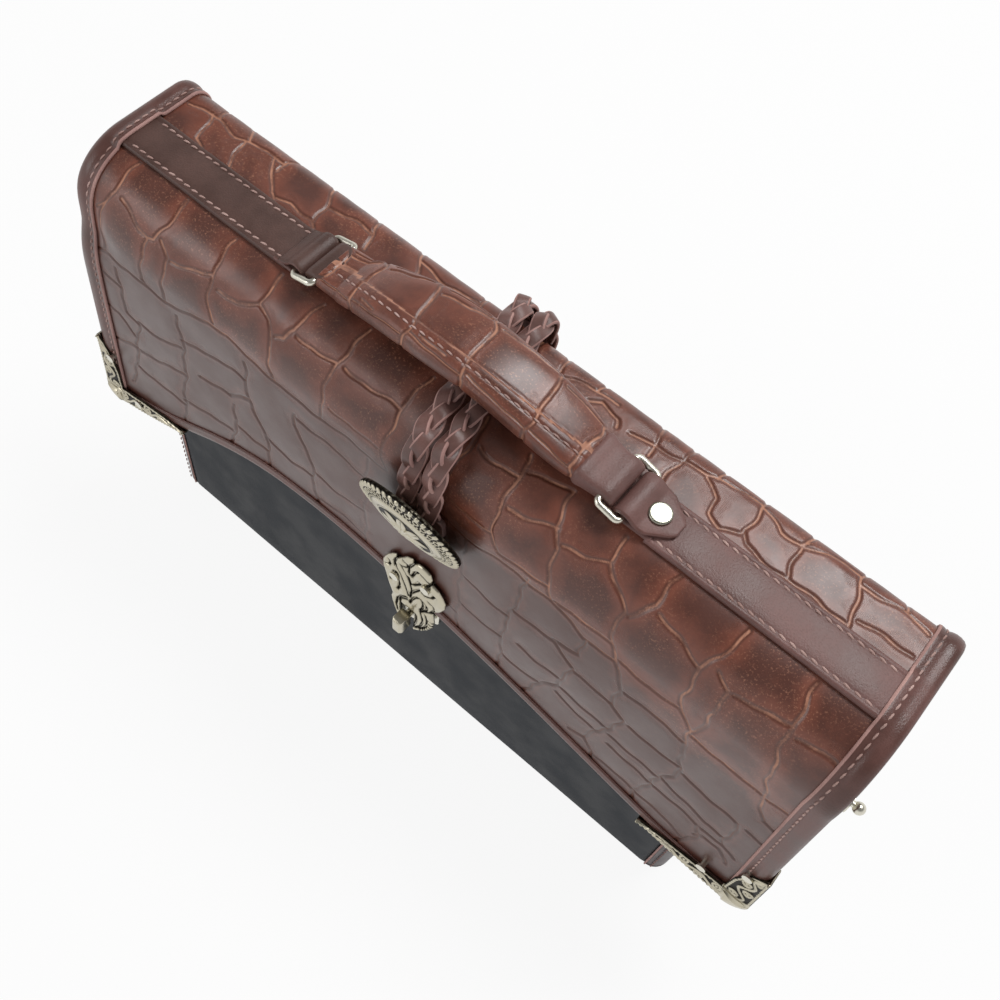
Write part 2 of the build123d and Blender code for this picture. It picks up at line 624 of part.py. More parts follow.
stud = stud_rod(tab_face - 1.5, tab_face - 0.1, 8.0) + stud_rod(tab_face - 1.0, tab_out_x + 4.5, 3.0)
stud += stud_rod(tab_out_x + 0.1, tab_out_x + 1.7, stud_flange_d)
stud += Pos(tab_out_x + 5.4, tab_y, stud_z) * Sphere(stud_ball_d / 2)
save("stud_right", stud)
save("stud_left", stud.mirror(Plane.YZ))
tab_pin_z = tab_rivet_z
tab_pin = stud_rod(inner_wall - 0.6, wall_x + tab_t + 0.6, corner_rivet_d, tab_pin_z)
tab_pin += stud_rod(inner_wall - 0.9, inner_wall - 0.1, 5.0, tab_pin_z)
tab_pin += stud_rod(wall_x + tab_t + 0.1, wall_x + tab_t + 1.1, 6.0, tab_pin_z)
save("tab_rivets", [tab_pin, tab_pin.mirror(Plane.YZ)])
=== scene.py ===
# %% [markdown]
# # A leather briefcase with a scaled flap
# The case is a soft navy box with a stiff flap of scale-embossed leather over it. The frame holds the plain
# solids and their joints. Each cell below dresses one piece: its mesh, its finish and the body it moves with.
# All sizes are in millimetres and are turned to metres only where a mesh is made.

# %% Load the frame
import math

import bpy
import bmesh
import numpy as np
from mathutils import Matrix, Vector


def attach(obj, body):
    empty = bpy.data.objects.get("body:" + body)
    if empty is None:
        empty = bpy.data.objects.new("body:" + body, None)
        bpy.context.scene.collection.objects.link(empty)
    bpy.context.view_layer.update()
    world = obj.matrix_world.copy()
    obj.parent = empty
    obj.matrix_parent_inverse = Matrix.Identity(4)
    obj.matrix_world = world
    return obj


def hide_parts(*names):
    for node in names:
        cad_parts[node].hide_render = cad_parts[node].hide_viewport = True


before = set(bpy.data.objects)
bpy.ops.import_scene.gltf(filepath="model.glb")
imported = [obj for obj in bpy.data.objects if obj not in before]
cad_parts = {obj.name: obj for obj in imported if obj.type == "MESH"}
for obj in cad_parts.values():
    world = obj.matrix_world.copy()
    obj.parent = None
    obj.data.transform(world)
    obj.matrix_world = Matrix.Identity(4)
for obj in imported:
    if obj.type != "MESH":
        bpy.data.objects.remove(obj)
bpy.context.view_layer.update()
scene = bpy.context.scene
scene.view_settings.view_transform = "Standard"
MM = 0.001
chance = np.random.default_rng(7)

# %% [markdown]
# ## The camera
# The photograph looks steeply down on the case from its front right. The camera's place, its three axes and
# its lens were solved from the corners of the case, so they are written here as plain numbers.

# %% Camera
camera_data = bpy.data.cameras.new("photo_camera")
camera_data.sensor_width = 36.0
camera_data.lens = 40.98
camera_data.shift_x = 0.00626
camera_data.shift_y = 0.00079
camera_data.clip_end = 20.0
camera = bpy.data.objects.new("photo_camera", camera_data)
scene.collection.objects.link(camera)
right, down, ahead = (0.762, 0.6432, 0.0757), (0.5965, -0.6516, -0.4686), (-0.2521, 0.4022, -0.8801)
turn = Matrix((right, [-c for c in down], [-c for c in ahead])).transposed().to_4x4()
camera.matrix_world = Matrix.Translation(Vector((143.8, -203.2, 603.1)) * MM) @ turn
scene.camera = camera
print("camera at", tuple(round(c, 3) for c in camera.location))

# %% [markdown]
# ## The flap as an unrolled sheet
# The flap is one sheet bent over the top of the case. It is easiest to draw on it as if it lay flat: `x` runs
# along the case and `s` runs down over the sheet, from the top of its back bend, over the top, round the
# front bend and down the front. `on_flap` bends a point of that flat sheet into its place. Every piece that
# lies on the flap is made through it, so a soft swell in the leather carries its bindings and metalwork
# along.

# %% Bent sheet
FLAP_HALF, TOP_Z, FRONT_Y, BACK_Y, HINGE_Z = 200.0, 235.0, -37.1, 38.0, 190.0
FRONT_R, BACK_R, LEAN = 34.0, 9.0, math.radians(3.1)
PLY = 3.3
BACK_TURN = BACK_R * math.pi / 2
TOP_RUN = BACK_Y - BACK_R - (FRONT_Y + FRONT_R)
FRONT_TURN = FRONT_R * (math.pi / 2 - LEAN)
S_TOP, S_BEND, S_FRONT = BACK_TURN, BACK_TURN + TOP_RUN, BACK_TURN + TOP_RUN + FRONT_TURN
S_HINGE = HINGE_Z - (TOP_Z - BACK_R)
FRONT_TOP_Z = TOP_Z - FRONT_R + FRONT_R * math.sin(LEAN)


def bump(t, centre, width):
    return np.exp(-(((t - centre) / width) ** 2))


def swell(x, s):
    """How far the soft leather stands out of its even form, in millimetres."""
    pinch = -4.0 * bump(s, 95, 15) * bump(x, -202, 20)
    waves = 0.7 * np.sin(x / 31.0 + 0.6) * bump(s, 92, 20) + 0.6 * np.sin(x / 23.0 + s
                                                                          / 40.0) * bump(s, 150, 38)
    belly = 1.3 * bump(x, 70, 60) * bump(s, 140, 35) - 0.3 * bump(x, -60, 50) * bump(s, 120, 30)
    ends = np.clip((200 - np.abs(x)) / 20, 0, 1)
    top = 0.8 * bump(s, 72, 14) * (1 + 0.6 * np.sin(x / 17.0))
    return pinch + (waves + belly + top) * ends


def sheet_point(s, out):
    """Y and Z of the sheet at s, moved out of its face."""
    s = np.asarray(s, float)
    a = np.clip(s, 0, S_TOP) / BACK_R
    f = (np.clip(s, S_BEND, S_FRONT) - S_BEND) / FRONT_R
    ny = np.where(s < S_TOP, np.cos(a), np.where(s < S_BEND, 0.0, -np.sin(f)))
    nz = np.where(s < S_TOP, np.sin(a), np.where(s < S_BEND, 1.0, np.cos(f)))
    hub_y, hub_z = BACK_Y - BACK_R, TOP_Z - BACK_R
    y = np.where(s < S_TOP, hub_y + BACK_R * ny, hub_y - (np.clip(s, S_TOP, S_BEND) - S_TOP))
    z = np.where(s < S_TOP, hub_z + BACK_R * nz + np.minimum(s, 0), TOP_Z)
    round_y, round_z = FRONT_Y + FRONT_R + FRONT_R * ny, TOP_Z - FRONT_R + FRONT_R * nz
    below = np.maximum(s - S_FRONT, 0)
    y = np.where(s > S_BEND, round_y - below * math.sin(LEAN), y)
    z = np.where(s > S_BEND, round_z - below * math.cos(LEAN), z)
    return y + ny * out, z + nz * out


def on_flap(x, s, out=0.0):
    x, s = np.asarray(x, float), np.asarray(s, float)
    y, z = sheet_point(s, np.asarray(out, float) + swell(x, s))
    return np.stack([x + 0 * y, y, z], -1)


def s_of_z(z):
    return S_FRONT + (FRONT_TOP_Z - z) / math.cos(LEAN)


def half_length(s):
    """Half the flap's length at s: it widens towards its lower corners."""
    z = FRONT_TOP_Z - (np.asarray(s, float) - S_FRONT) * math.cos(LEAN)
    return FLAP_HALF + 8.0 * np.clip((TOP_Z - FRONT_R - z) / 130.0, 0, None)


EDGE_Z = [(-208.3, 66), (-180, 75), (-150, 88), (-127, 101), (-106, 110.5), (-85, 117.3), (-64, 120.4),
          (-40, 121),
          (-14, 117.4), (7, 114.5), (26, 112), (52, 107.5), (82, 100), (107, 93), (136, 85.5), (153, 81.5),
          (180, 77.5), (207.7, 76)]
edge_x = np.array([p[0] for p in EDGE_Z])
edge_s = np.array([s_of_z(p[1]) for p in EDGE_Z])
fine_x = np.linspace(edge_x[0], edge_x[-1], 500)
fine_s = np.interp(fine_x, edge_x, edge_s)
for _ in range(3):
    fine_s = np.convolve(np.pad(fine_s, 8, "reflect", reflect_type="odd"), np.ones(17) / 17, "valid")


def lower_edge(x):
    return np.interp(x, fine_x, fine_s)


print("sheet runs from", round(S_HINGE, 1), "to", round(float(lower_edge(-208)), 1), "mm")

# %% [markdown]
# ## Small mesh tools
# A leather edge, a strap, a roll or a wire is a section carried along a line, so one function joins a row of
# rings into a skin. `flat_pair` gives a sheet its two faces. Both close the mesh, because a printed or
# exported part has no open edges.


# %% Mesh tools
def add_mesh(name, points, faces, finishes, body, values=None, face_finish=None, smooth=True):
    mesh = bpy.data.meshes.new(name)
    mesh.from_pydata((np.asarray(points, float).reshape(-1, 3) * MM).tolist(), [], faces)
    for key, column in (values or {}).items():
        layer = mesh.attributes.new(key, "FLOAT", "POINT")
        layer.data.foreach_set("value", np.asarray(column, np.float32).ravel())
    for finish in finishes if isinstance(finishes, (list, tuple)) else [finishes]:
        mesh.materials.append(finish)
    if face_finish is not None:
        mesh.polygons.foreach_set("material_index", np.asarray(face_finish, np.int32))
    mesh.polygons.foreach_set("use_smooth", [smooth] * len(mesh.polygons))
    mesh.update()
    piece = bpy.data.objects.new(name, mesh)
    scene.collection.objects.link(piece)
    if body:
        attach(piece, body)
    return piece


def loft(rings, caps=True):
    """Points and faces of a skin over a row of closed rings, each with the same number of points."""
    rings = np.asarray(rings, float)
    n, k = rings.shape[:2]
    faces = [(i * k + j, i * k + (j + 1) % k, (i + 1) * k + (j + 1) % k, (i + 1) * k + j)
             for i in range(n - 1) for j in range(k)]
    if caps:
        faces += [tuple(range(k))[::-1], tuple(range((n - 1) * k, n * k))]
    return rings.reshape(-1, 3), faces


def flat_pair(top, bottom):
    """A sheet from two grids of points, rows by columns, joined round their rim."""
    n, m = top.shape[:2]
    base = n * m
    faces = [(i * m + j, (i + 1) * m + j, (i + 1) * m + j + 1, i * m + j + 1) for i in range(n - 1)
             for j in range(m - 1)]
    faces += [tuple(base + v for v in face[::-1]) for face in faces]
    rim = [j for j in range(m)] + [i * m + m - 1 for i in range(1, n)]
    rim += [(n - 1) * m + j for j in range(m - 2, -1, -1)] + [i * m for i in range(n - 2, 0, -1)]
    for a, b in zip(rim, rim[1:] + rim[:1]):
        faces.append((a, b, base + b, base + a))
    return np.concatenate([top.reshape(-1, 3), bottom.reshape(-1, 3)]), faces


def fix_normals(piece):
    """Turns every face of a closed mesh outwards."""
    bm = bmesh.new()
    bm.from_mesh(piece.data)
    bmesh.ops.recalc_face_normals(bm, faces=bm.faces)
    bm.to_mesh(piece.data)
    bm.free()


def unit(v):
    v = np.asarray(v, float)
    return v / np.maximum(np.linalg.norm(v, axis=-1, keepdims=True), 1e-9)


def along(points, up):
    """Unit tangents, sideways and upright directions along a line of points."""
    points = np.asarray(points, float)
    t = unit(np.gradient(points, axis=0))
    side = unit(np.cross(t, np.asarray(up, float)))
    return t, side, unit(np.cross(side, t))


def stitches(name, line, up, body, finish, pitch=4.5, long=3.3, radius=0.42, slant=0.10):
    """A row of small thread stitches lying on a line, sunk at both ends."""
    line = np.asarray(line, float)
    gaps = np.linalg.norm(np.diff(line, axis=0), axis=1)
    run = np.concatenate([[0], np.cumsum(gaps)])
    ups = np.broadcast_to(np.asarray(up, float), line.shape)
    starts = np.arange(pitch / 2, run[-1] - long, pitch)
    points, faces = [], []
    for start in starts:
        at = start + long * np.linspace(0, 1, 5)
        p = np.stack([np.interp(at, run, line[:, i]) for i in range(3)], 1)
        u = unit(np.stack([np.interp(at, run, ups[:, i]) for i in range(3)], 1))
        t = unit(p[-1] - p[0])
        side = unit(np.cross(t, u))
        p = p + side * (np.linspace(-0.5, 0.5, 5) * long * slant)[:, None]
        p = p + u * (np.array([-0.45, 0.12, 0.25, 0.12, -0.45]) * radius)[:, None]
        size = radius * np.array([0.45, 0.95, 1.0, 0.95, 0.45])
        ring = [side * np.cos(a) * 1.15 + u * np.sin(a) for a in np.linspace(0, 2 * np.pi, 6, endpoint=False)]
        rings = np.array([[p[i] + r[i] * size[i] for r in ring] for i in range(5)])
        q, f = loft(rings)
        base = sum(len(x) for x in points)
        points.append(q)
        faces += [tuple(base + v for v in face) for face in f]
    return add_mesh(name, np.concatenate(points), faces, finish, body)


print("mesh tools ready")

# %% [markdown]
# ## Shared shader groups
# Three effects turn up in several finishes. Leather grain is a fine pebble over slow mottling. The scale
# print colours each scale from its crease to its centre, read from the distance in millimetres that the mesh
# stores as the attribute `crease`. A second stored attribute marks the lower front of the flap, where the
# hide and its creases are painted darker: this is painted shade. Patina darkens the hollows of the cast
# metal, read from the attribute `hollow`.


# %% Shader groups
def new_group(name, inputs, outputs):
    group = bpy.data.node_groups.new(name, "ShaderNodeTree")
    for title, kind, value in inputs:
        socket = group.interface.new_socket(title, in_out="INPUT", socket_type="NodeSocket" + kind)
        socket.default_value = value
    for title, kind in outputs:
        group.interface.new_socket(title, in_out="OUTPUT", socket_type="NodeSocket" + kind)
    return group, group.nodes.new("NodeGroupInput"), group.nodes.new("NodeGroupOutput")


def node(tree, kind, values=None, **settings):
    made = tree.nodes.new("ShaderNode" + kind)
    for key, value in settings.items():
        setattr(made, key, value)
    for key, value in (values or {}).items():
        if isinstance(value, bpy.types.NodeSocket):
            tree.links.new(value, made.inputs[key])
        else:
            made.inputs[key].default_value = value
    return made


def calc(tree, kind, a, b=0.0, c=0.0, clamp=False):
    return node(tree, "Math", {0: a, 1: b, 2: c}, operation=kind, use_clamp=clamp).outputs[0]


def ramp(tree, value, low, high, out_low=0.0, out_high=1.0, smooth=True):
    kind = "SMOOTHSTEP" if smooth else "LINEAR"
    made = node(tree, "MapRange", {0: value, 1: low, 2: high, 3: out_low, 4: out_high},
                interpolation_type=kind)
    return made.outputs[0]


def blend(tree, share, a, b, kind="MIX"):
    made = node(tree, "Mix", None, data_type="RGBA", blend_type=kind)
    for index, value in ((0, share), (6, a), (7, b)):
        if isinstance(value, bpy.types.NodeSocket):
            tree.links.new(value, made.inputs[index])
        else:
            made.inputs[index].default_value = value
    return made.outputs[2]


def noise(tree, place, scale, detail=3.0, rough=0.55):
    return node(tree, "TexNoise", {"Vector": place, "Scale": scale, "Detail": detail,
                                   "Roughness": rough}).outputs[0]


def linear(code, alpha=1.0):
    """A screen colour such as 7b4536 as the linear numbers a shader takes."""
    parts = [int(code[i:i + 2], 16) / 255 for i in (0, 2, 4)]
    return tuple(c / 12.92 if c <= 0.04045 else ((c + 0.055) / 1.055) ** 2.4 for c in parts) + (alpha,)


grain, grain_in, grain_out = new_group(
    "leather_grain", [("Place", "Vector", (0, 0, 0)), ("Size", "Float", 1.0)],
                                       [("Height", "Float"), ("Mottle", "Float")])
size_up = calc(grain, "DIVIDE", 1.0, grain_in.outputs["Size"])
pebble_place = node(grain, "VectorMath", {0: grain_in.outputs["Place"]}, operation="SCALE")
grain.links.new(size_up, pebble_place.inputs["Scale"])
pebble = node(grain, "TexVoronoi", {"Vector": pebble_place.outputs[0], "Scale": 1400.0}, feature="SMOOTH_F1")
pores = noise(grain, pebble_place.outputs[0], 2600.0, 2.0)
mixed = calc(grain, "ADD", calc(grain, "MULTIPLY", pebble.outputs["Distance"], 0.8),
             calc(grain, "MULTIPLY", pores, 0.5))
grain.links.new(mixed, grain_out.inputs["Height"])
grain.links.new(noise(grain, grain_in.outputs["Place"], 45.0, 4.0), grain_out.inputs["Mottle"])

scales, scales_in, scales_out = new_group(
    "scale_print",
    [("Place", "Vector", (0, 0, 0)), ("Crease", "Float", 5.0), ("Painted Shade", "Float", 0.0),
     ("Centre", "Color", (0, 0, 0, 1)),
     ("Edge", "Color", (0, 0, 0, 1)), ("Line", "Color", (0, 0, 0, 1))],
    [("Color", "Color"), ("Height", "Float"), ("Line", "Float")])
place, crease, painted_front_shade = (scales_in.outputs[key] for key in ("Place", "Crease", "Painted Shade"))
# Painted shade: on the marked lower front the crease lines take the dark centre colour.
line_paint = blend(scales, calc(scales, "MULTIPLY", painted_front_shade, 0.85), scales_in.outputs["Line"],
                   scales_in.outputs["Centre"])
drift = noise(scales, place, 28.0, 3.0)
blotch = noise(scales, place, 130.0, 8.0, 0.78)
reach = ramp(scales, drift, 0.35, 0.65, 5.0, 11.0)
inside = calc(scales, "DIVIDE", calc(scales, "SUBTRACT", crease, 1.0), reach, clamp=True)
inside = calc(scales, "ADD", inside, calc(scales, "MULTIPLY", calc(scales, "SUBTRACT", blotch, 0.5), 1.9),
              clamp=True)
# Painted shade: the marked lower front is pushed towards the dark centre colour.
inside = calc(scales, "ADD", calc(scales, "MULTIPLY", inside, 0.85), calc(scales, "MULTIPLY", painted_front_shade,
                                                                          0.65), clamp=True)
body_colour = blend(scales, inside, scales_in.outputs["Edge"], scales_in.outputs["Centre"])
line = ramp(scales, crease, 0.18, 0.74, 1.0, 0.0)
line_strength = ramp(scales, noise(scales, place, 85.0, 4.0, 0.7), 0.36, 0.60, 0.15, 0.95)
line_mask = calc(scales, "MULTIPLY", line, line_strength, clamp=True)
shade = ramp(scales, crease, 0.7, 1.9, 0.60, 1.0)
shaded = blend(scales, 1.0, body_colour, node(scales, "CombineColor",
                                              {0: shade, 1: shade, 2: shade}).outputs[0], "MULTIPLY")
ticks = node(scales, "TexWave", {"Vector": place, "Scale": 520.0, "Distortion": 6.0, "Detail": 2.0,
                                 "Detail Scale": 1.5})
near = calc(scales, "MULTIPLY", ramp(scales, crease, 1.0, 2.0), ramp(scales, crease, 3.0, 6.5, 1.0, 0.0))
patch = ramp(scales, noise(scales, place, 70.0, 1.0), 0.50, 0.60)
tick_mask = calc(scales, "MULTIPLY", calc(scales, "MULTIPLY", near, patch), ramp(scales, ticks.outputs[1],
                                                                                 0.55, 0.8))
flecks = ramp(scales, noise(scales, place, 1100.0, 3.0, 0.7), 0.54, 0.68, 0.0, 0.50)
rub = calc(scales, "MULTIPLY", flecks, ramp(scales, noise(scales, place, 33.0, 2.0), 0.34, 0.62))
lit = blend(scales, calc(scales, "MULTIPLY", tick_mask, 0.5), shaded, scales_in.outputs["Edge"])
lit = blend(scales, rub, lit, line_paint)
scales.links.new(blend(scales, line_mask, lit, line_paint), scales_out.inputs["Color"])
scales.links.new(calc(scales, "MULTIPLY", tick_mask, -1.0), scales_out.inputs["Height"])
scales.links.new(line_mask, scales_out.inputs["Line"])

patina, patina_in, patina_out = new_group(
    "patina",
    [("Place", "Vector", (0, 0, 0)), ("Hollow", "Float", 0.0), ("Bright", "Color", (1, 1, 1, 1)),
     ("Dark", "Color", (0, 0, 0, 1))],
    [("Color", "Color"), ("Roughness", "Float"), ("Height", "Float")])
cloud = noise(patina, patina_in.outputs["Place"], 180.0, 4.0)
# Real patina in the hollows; on the clasp plate the attribute also carries painted shade along its outline.
patina_and_shade = calc(patina, "ADD", patina_in.outputs["Hollow"], calc(patina, "MULTIPLY", calc(patina, "SUBTRACT",
                                                                                       cloud, 0.5), 0.5))
patina_and_shade = ramp(patina, patina_and_shade, 0.25, 0.85)
patina.links.new(blend(patina, patina_and_shade, patina_in.outputs["Bright"], patina_in.outputs["Dark"]),
                 patina_out.inputs["Color"])
patina.links.new(ramp(patina, calc(patina, "ADD", calc(patina, "MULTIPLY", patina_and_shade, 0.35),
                                   calc(patina, "MULTIPLY", cloud, 0.3)),
                      0.0, 0.7, 0.20, 0.62, False), patina_out.inputs["Roughness"])
patina.links.new(noise(patina, patina_in.outputs["Place"], 1500.0, 2.0), patina_out.inputs["Height"])
print("groups", [g.name for g in bpy.data.node_groups])

# %% [markdown]
# ## Finishes
# Real scaled leather is dyed dark and then buffed, so the raised centres are dark and shiny while the creases
# keep the lighter tan of the hide. The plain leather of the straps and edges is a soft satin brown with a
# grain of well under a millimetre. Raw cut edges are paler and pink. The case itself is a matt navy hide.


# %% Finishes
def new_material(name, roughness=0.5, metallic=0.0, coat=0.0, coat_roughness=0.2, specular=0.5, sheen=0.0):
    made = bpy.data.materials.new(name)
    made.use_nodes = True
    tree = made.node_tree
    shader = tree.nodes["Principled BSDF"]
    shader.inputs["Roughness"].default_value = roughness
    shader.inputs["Metallic"].default_value = metallic
    shader.inputs["Coat Weight"].default_value = coat
    shader.inputs["Coat Roughness"].default_value = coat_roughness
    shader.inputs["Specular IOR Level"].default_value = specular
    shader.inputs["Sheen Weight"].default_value = sheen
    return made, tree, shader, node(tree, "TexCoord").outputs["Object"]


def use_group(tree, group, values):
    made = tree.nodes.new("ShaderNodeGroup")
    made.node_tree = group
    for key, value in values.items():
        if isinstance(value, bpy.types.NodeSocket):
            tree.links.new(value, made.inputs[key])
        else:
            made.inputs[key].default_value = value
    return made


def raise_bump(tree, shader, height, distance, strength=1.0, below=None):
    made = node(tree, "Bump", {"Height": height, "Distance": distance, "Strength": strength})
    if below is not None:
        tree.links.new(below, made.inputs["Normal"])
    tree.links.new(made.outputs[0], shader.inputs["Normal"])
    return made.outputs[0]


def scaled_leather(name, centre, edge, line_colour, roughness):
    made, tree, shader, place = new_material(name, coat=0.35, coat_roughness=0.28, specular=0.42)
    crease = node(tree, "Attribute", attribute_name="crease").outputs["Fac"]
    # This attribute marks the lower front, where painted shade darkens the hide.
    painted_front_shade = node(tree, "Attribute", attribute_name="painted_front_shade").outputs["Fac"]
    print_group = use_group(tree, scales, {"Place": place, "Crease": crease, "Painted Shade": painted_front_shade,
                                           "Centre": linear(centre),
                                           "Edge": linear(edge), "Line": linear(line_colour)})
    fine = use_group(tree, grain, {"Place": place, "Size": 1.3})
    tree.links.new(print_group.outputs["Color"], shader.inputs["Base Color"])
    rough = calc(tree, "ADD", calc(tree, "MULTIPLY", print_group.outputs["Line"], 0.22),
                 ramp(tree, fine.outputs["Mottle"], 0.3, 0.7, roughness - 0.05, roughness + 0.10))
    tree.links.new(rough, shader.inputs["Roughness"])
    first = raise_bump(tree, shader, fine.outputs["Height"], 0.00006, 0.55)
    raise_bump(tree, shader, print_group.outputs["Height"], 0.00025, 1.0, first)
    return made


def plain_leather(name, colour, dark, roughness=0.42, size=1.0, bump_depth=0.00010, sheen=0.0, specular=0.42):
    made, tree, shader, place = new_material(name, specular=specular, sheen=sheen)
    fine = use_group(tree, grain, {"Place": place, "Size": size})
    share = ramp(tree, fine.outputs["Mottle"], 0.30, 0.70)
    pits = ramp(tree, fine.outputs["Height"], 0.25, 0.75)
    tone = calc(tree, "MULTIPLY", share, ramp(tree, pits, 0.0, 1.0, 0.6, 1.0))
    tree.links.new(blend(tree, tone, linear(dark), linear(colour)), shader.inputs["Base Color"])
    tree.links.new(ramp(tree, fine.outputs["Mottle"], 0.3, 0.7, roughness - 0.06, roughness + 0.08),
                   shader.inputs["Roughness"])
    raise_bump(tree, shader, fine.outputs["Height"], bump_depth, 0.8)
    return made


def cast_metal(name, bright, dark, hollow=True):
    made, tree, shader, place = new_material(name, metallic=1.0)
    depth = node(tree, "Attribute", attribute_name="hollow").outputs["Fac"] if hollow else 0.05
    worn = use_group(tree, patina, {"Place": place, "Hollow": depth, "Bright": linear(bright),
                                    "Dark": linear(dark)})
    tree.links.new(worn.outputs["Color"], shader.inputs["Base Color"])
    tree.links.new(worn.outputs["Roughness"], shader.inputs["Roughness"])
    raise_bump(tree, shader, worn.outputs["Height"], 0.00004, 0.5)
    return made


def woven(name, colour, dark):
    made, tree, shader, place = new_material(name, roughness=0.85, sheen=0.2)
    across = node(tree, "TexWave", {"Vector": place, "Scale": 260.0}, bands_direction="X").outputs[1]
    up = node(tree, "TexWave", {"Vector": place, "Scale": 260.0}, bands_direction="Z").outputs[1]
    weave = calc(tree, "MULTIPLY", across, up)
    mottled = calc(tree, "MULTIPLY", weave, ramp(tree, noise(tree, place, 30.0), 0.3, 0.7, 0.7, 1.0))
    tree.links.new(blend(tree, mottled, linear(dark), linear(colour)), shader.inputs["Base Color"])
    tree.links.new(ramp(tree, weave, 0.0, 1.0, 0.75, 0.92), shader.inputs["Roughness"])
    raise_bump(tree, shader, weave, 0.0001, 0.6)
    return made


scaled_hide = scaled_leather("scaled_hide", "4a281f", "744030", "b37d63", 0.38)
strap_hide = plain_leather("strap_hide", "76544f", "5e423d", 0.46, 1.0, 0.00014)
# Painted shade: a darker copy of the strap leather, for the left strap and its loops, which catch less of the
# lamp.
strap_hide_painted_shade = plain_leather("strap_hide_painted_shade", "583e37", "432e28", 0.46, 1.0, 0.00014)
edge_hide = plain_leather("edge_hide", "6a4741", "50352f", 0.35, 0.9, 0.00009)
braid_hide = plain_leather("braid_hide", "7c5a54", "573d37", 0.38, 0.7, 0.00009)
raw_edge = plain_leather("raw_edge", "b8928a", "94706a", 0.7, 0.8, 0.00012)
navy_hide = plain_leather("navy_hide", "1c2026", "15181d", 0.60, 1.2, 0.00008, specular=0.28)
gusset_hide = plain_leather("gusset_hide", "4c3d3f", "3c3032", 0.45, 1.0)
inner_suede = plain_leather("inner_suede", "6a5244", "56402f", 0.85, 1.6, 0.00015, sheen=0.3)
lining_cloth = woven("lining_cloth", "a08a6c", "6f5d47")
board = plain_leather("board", "8c7a62", "6f5f4b", 0.8, 2.0)
thread = plain_leather("thread", "c0a29a", "94746c", 0.65, 0.3, 0.00005)
dark_thread = plain_leather("dark_thread", "9a7770", "6f4f4a", 0.65, 0.3, 0.00005)
antique = cast_metal("antique", "bfb8a4", "1a1612")
pale_metal = cast_metal("pale_metal", "d6d2c4", "6b6455", hollow=False)
satin_metal = cast_metal("satin_metal", "98978a", "6b6455", hollow=False)
print("finishes", len(bpy.data.materials))
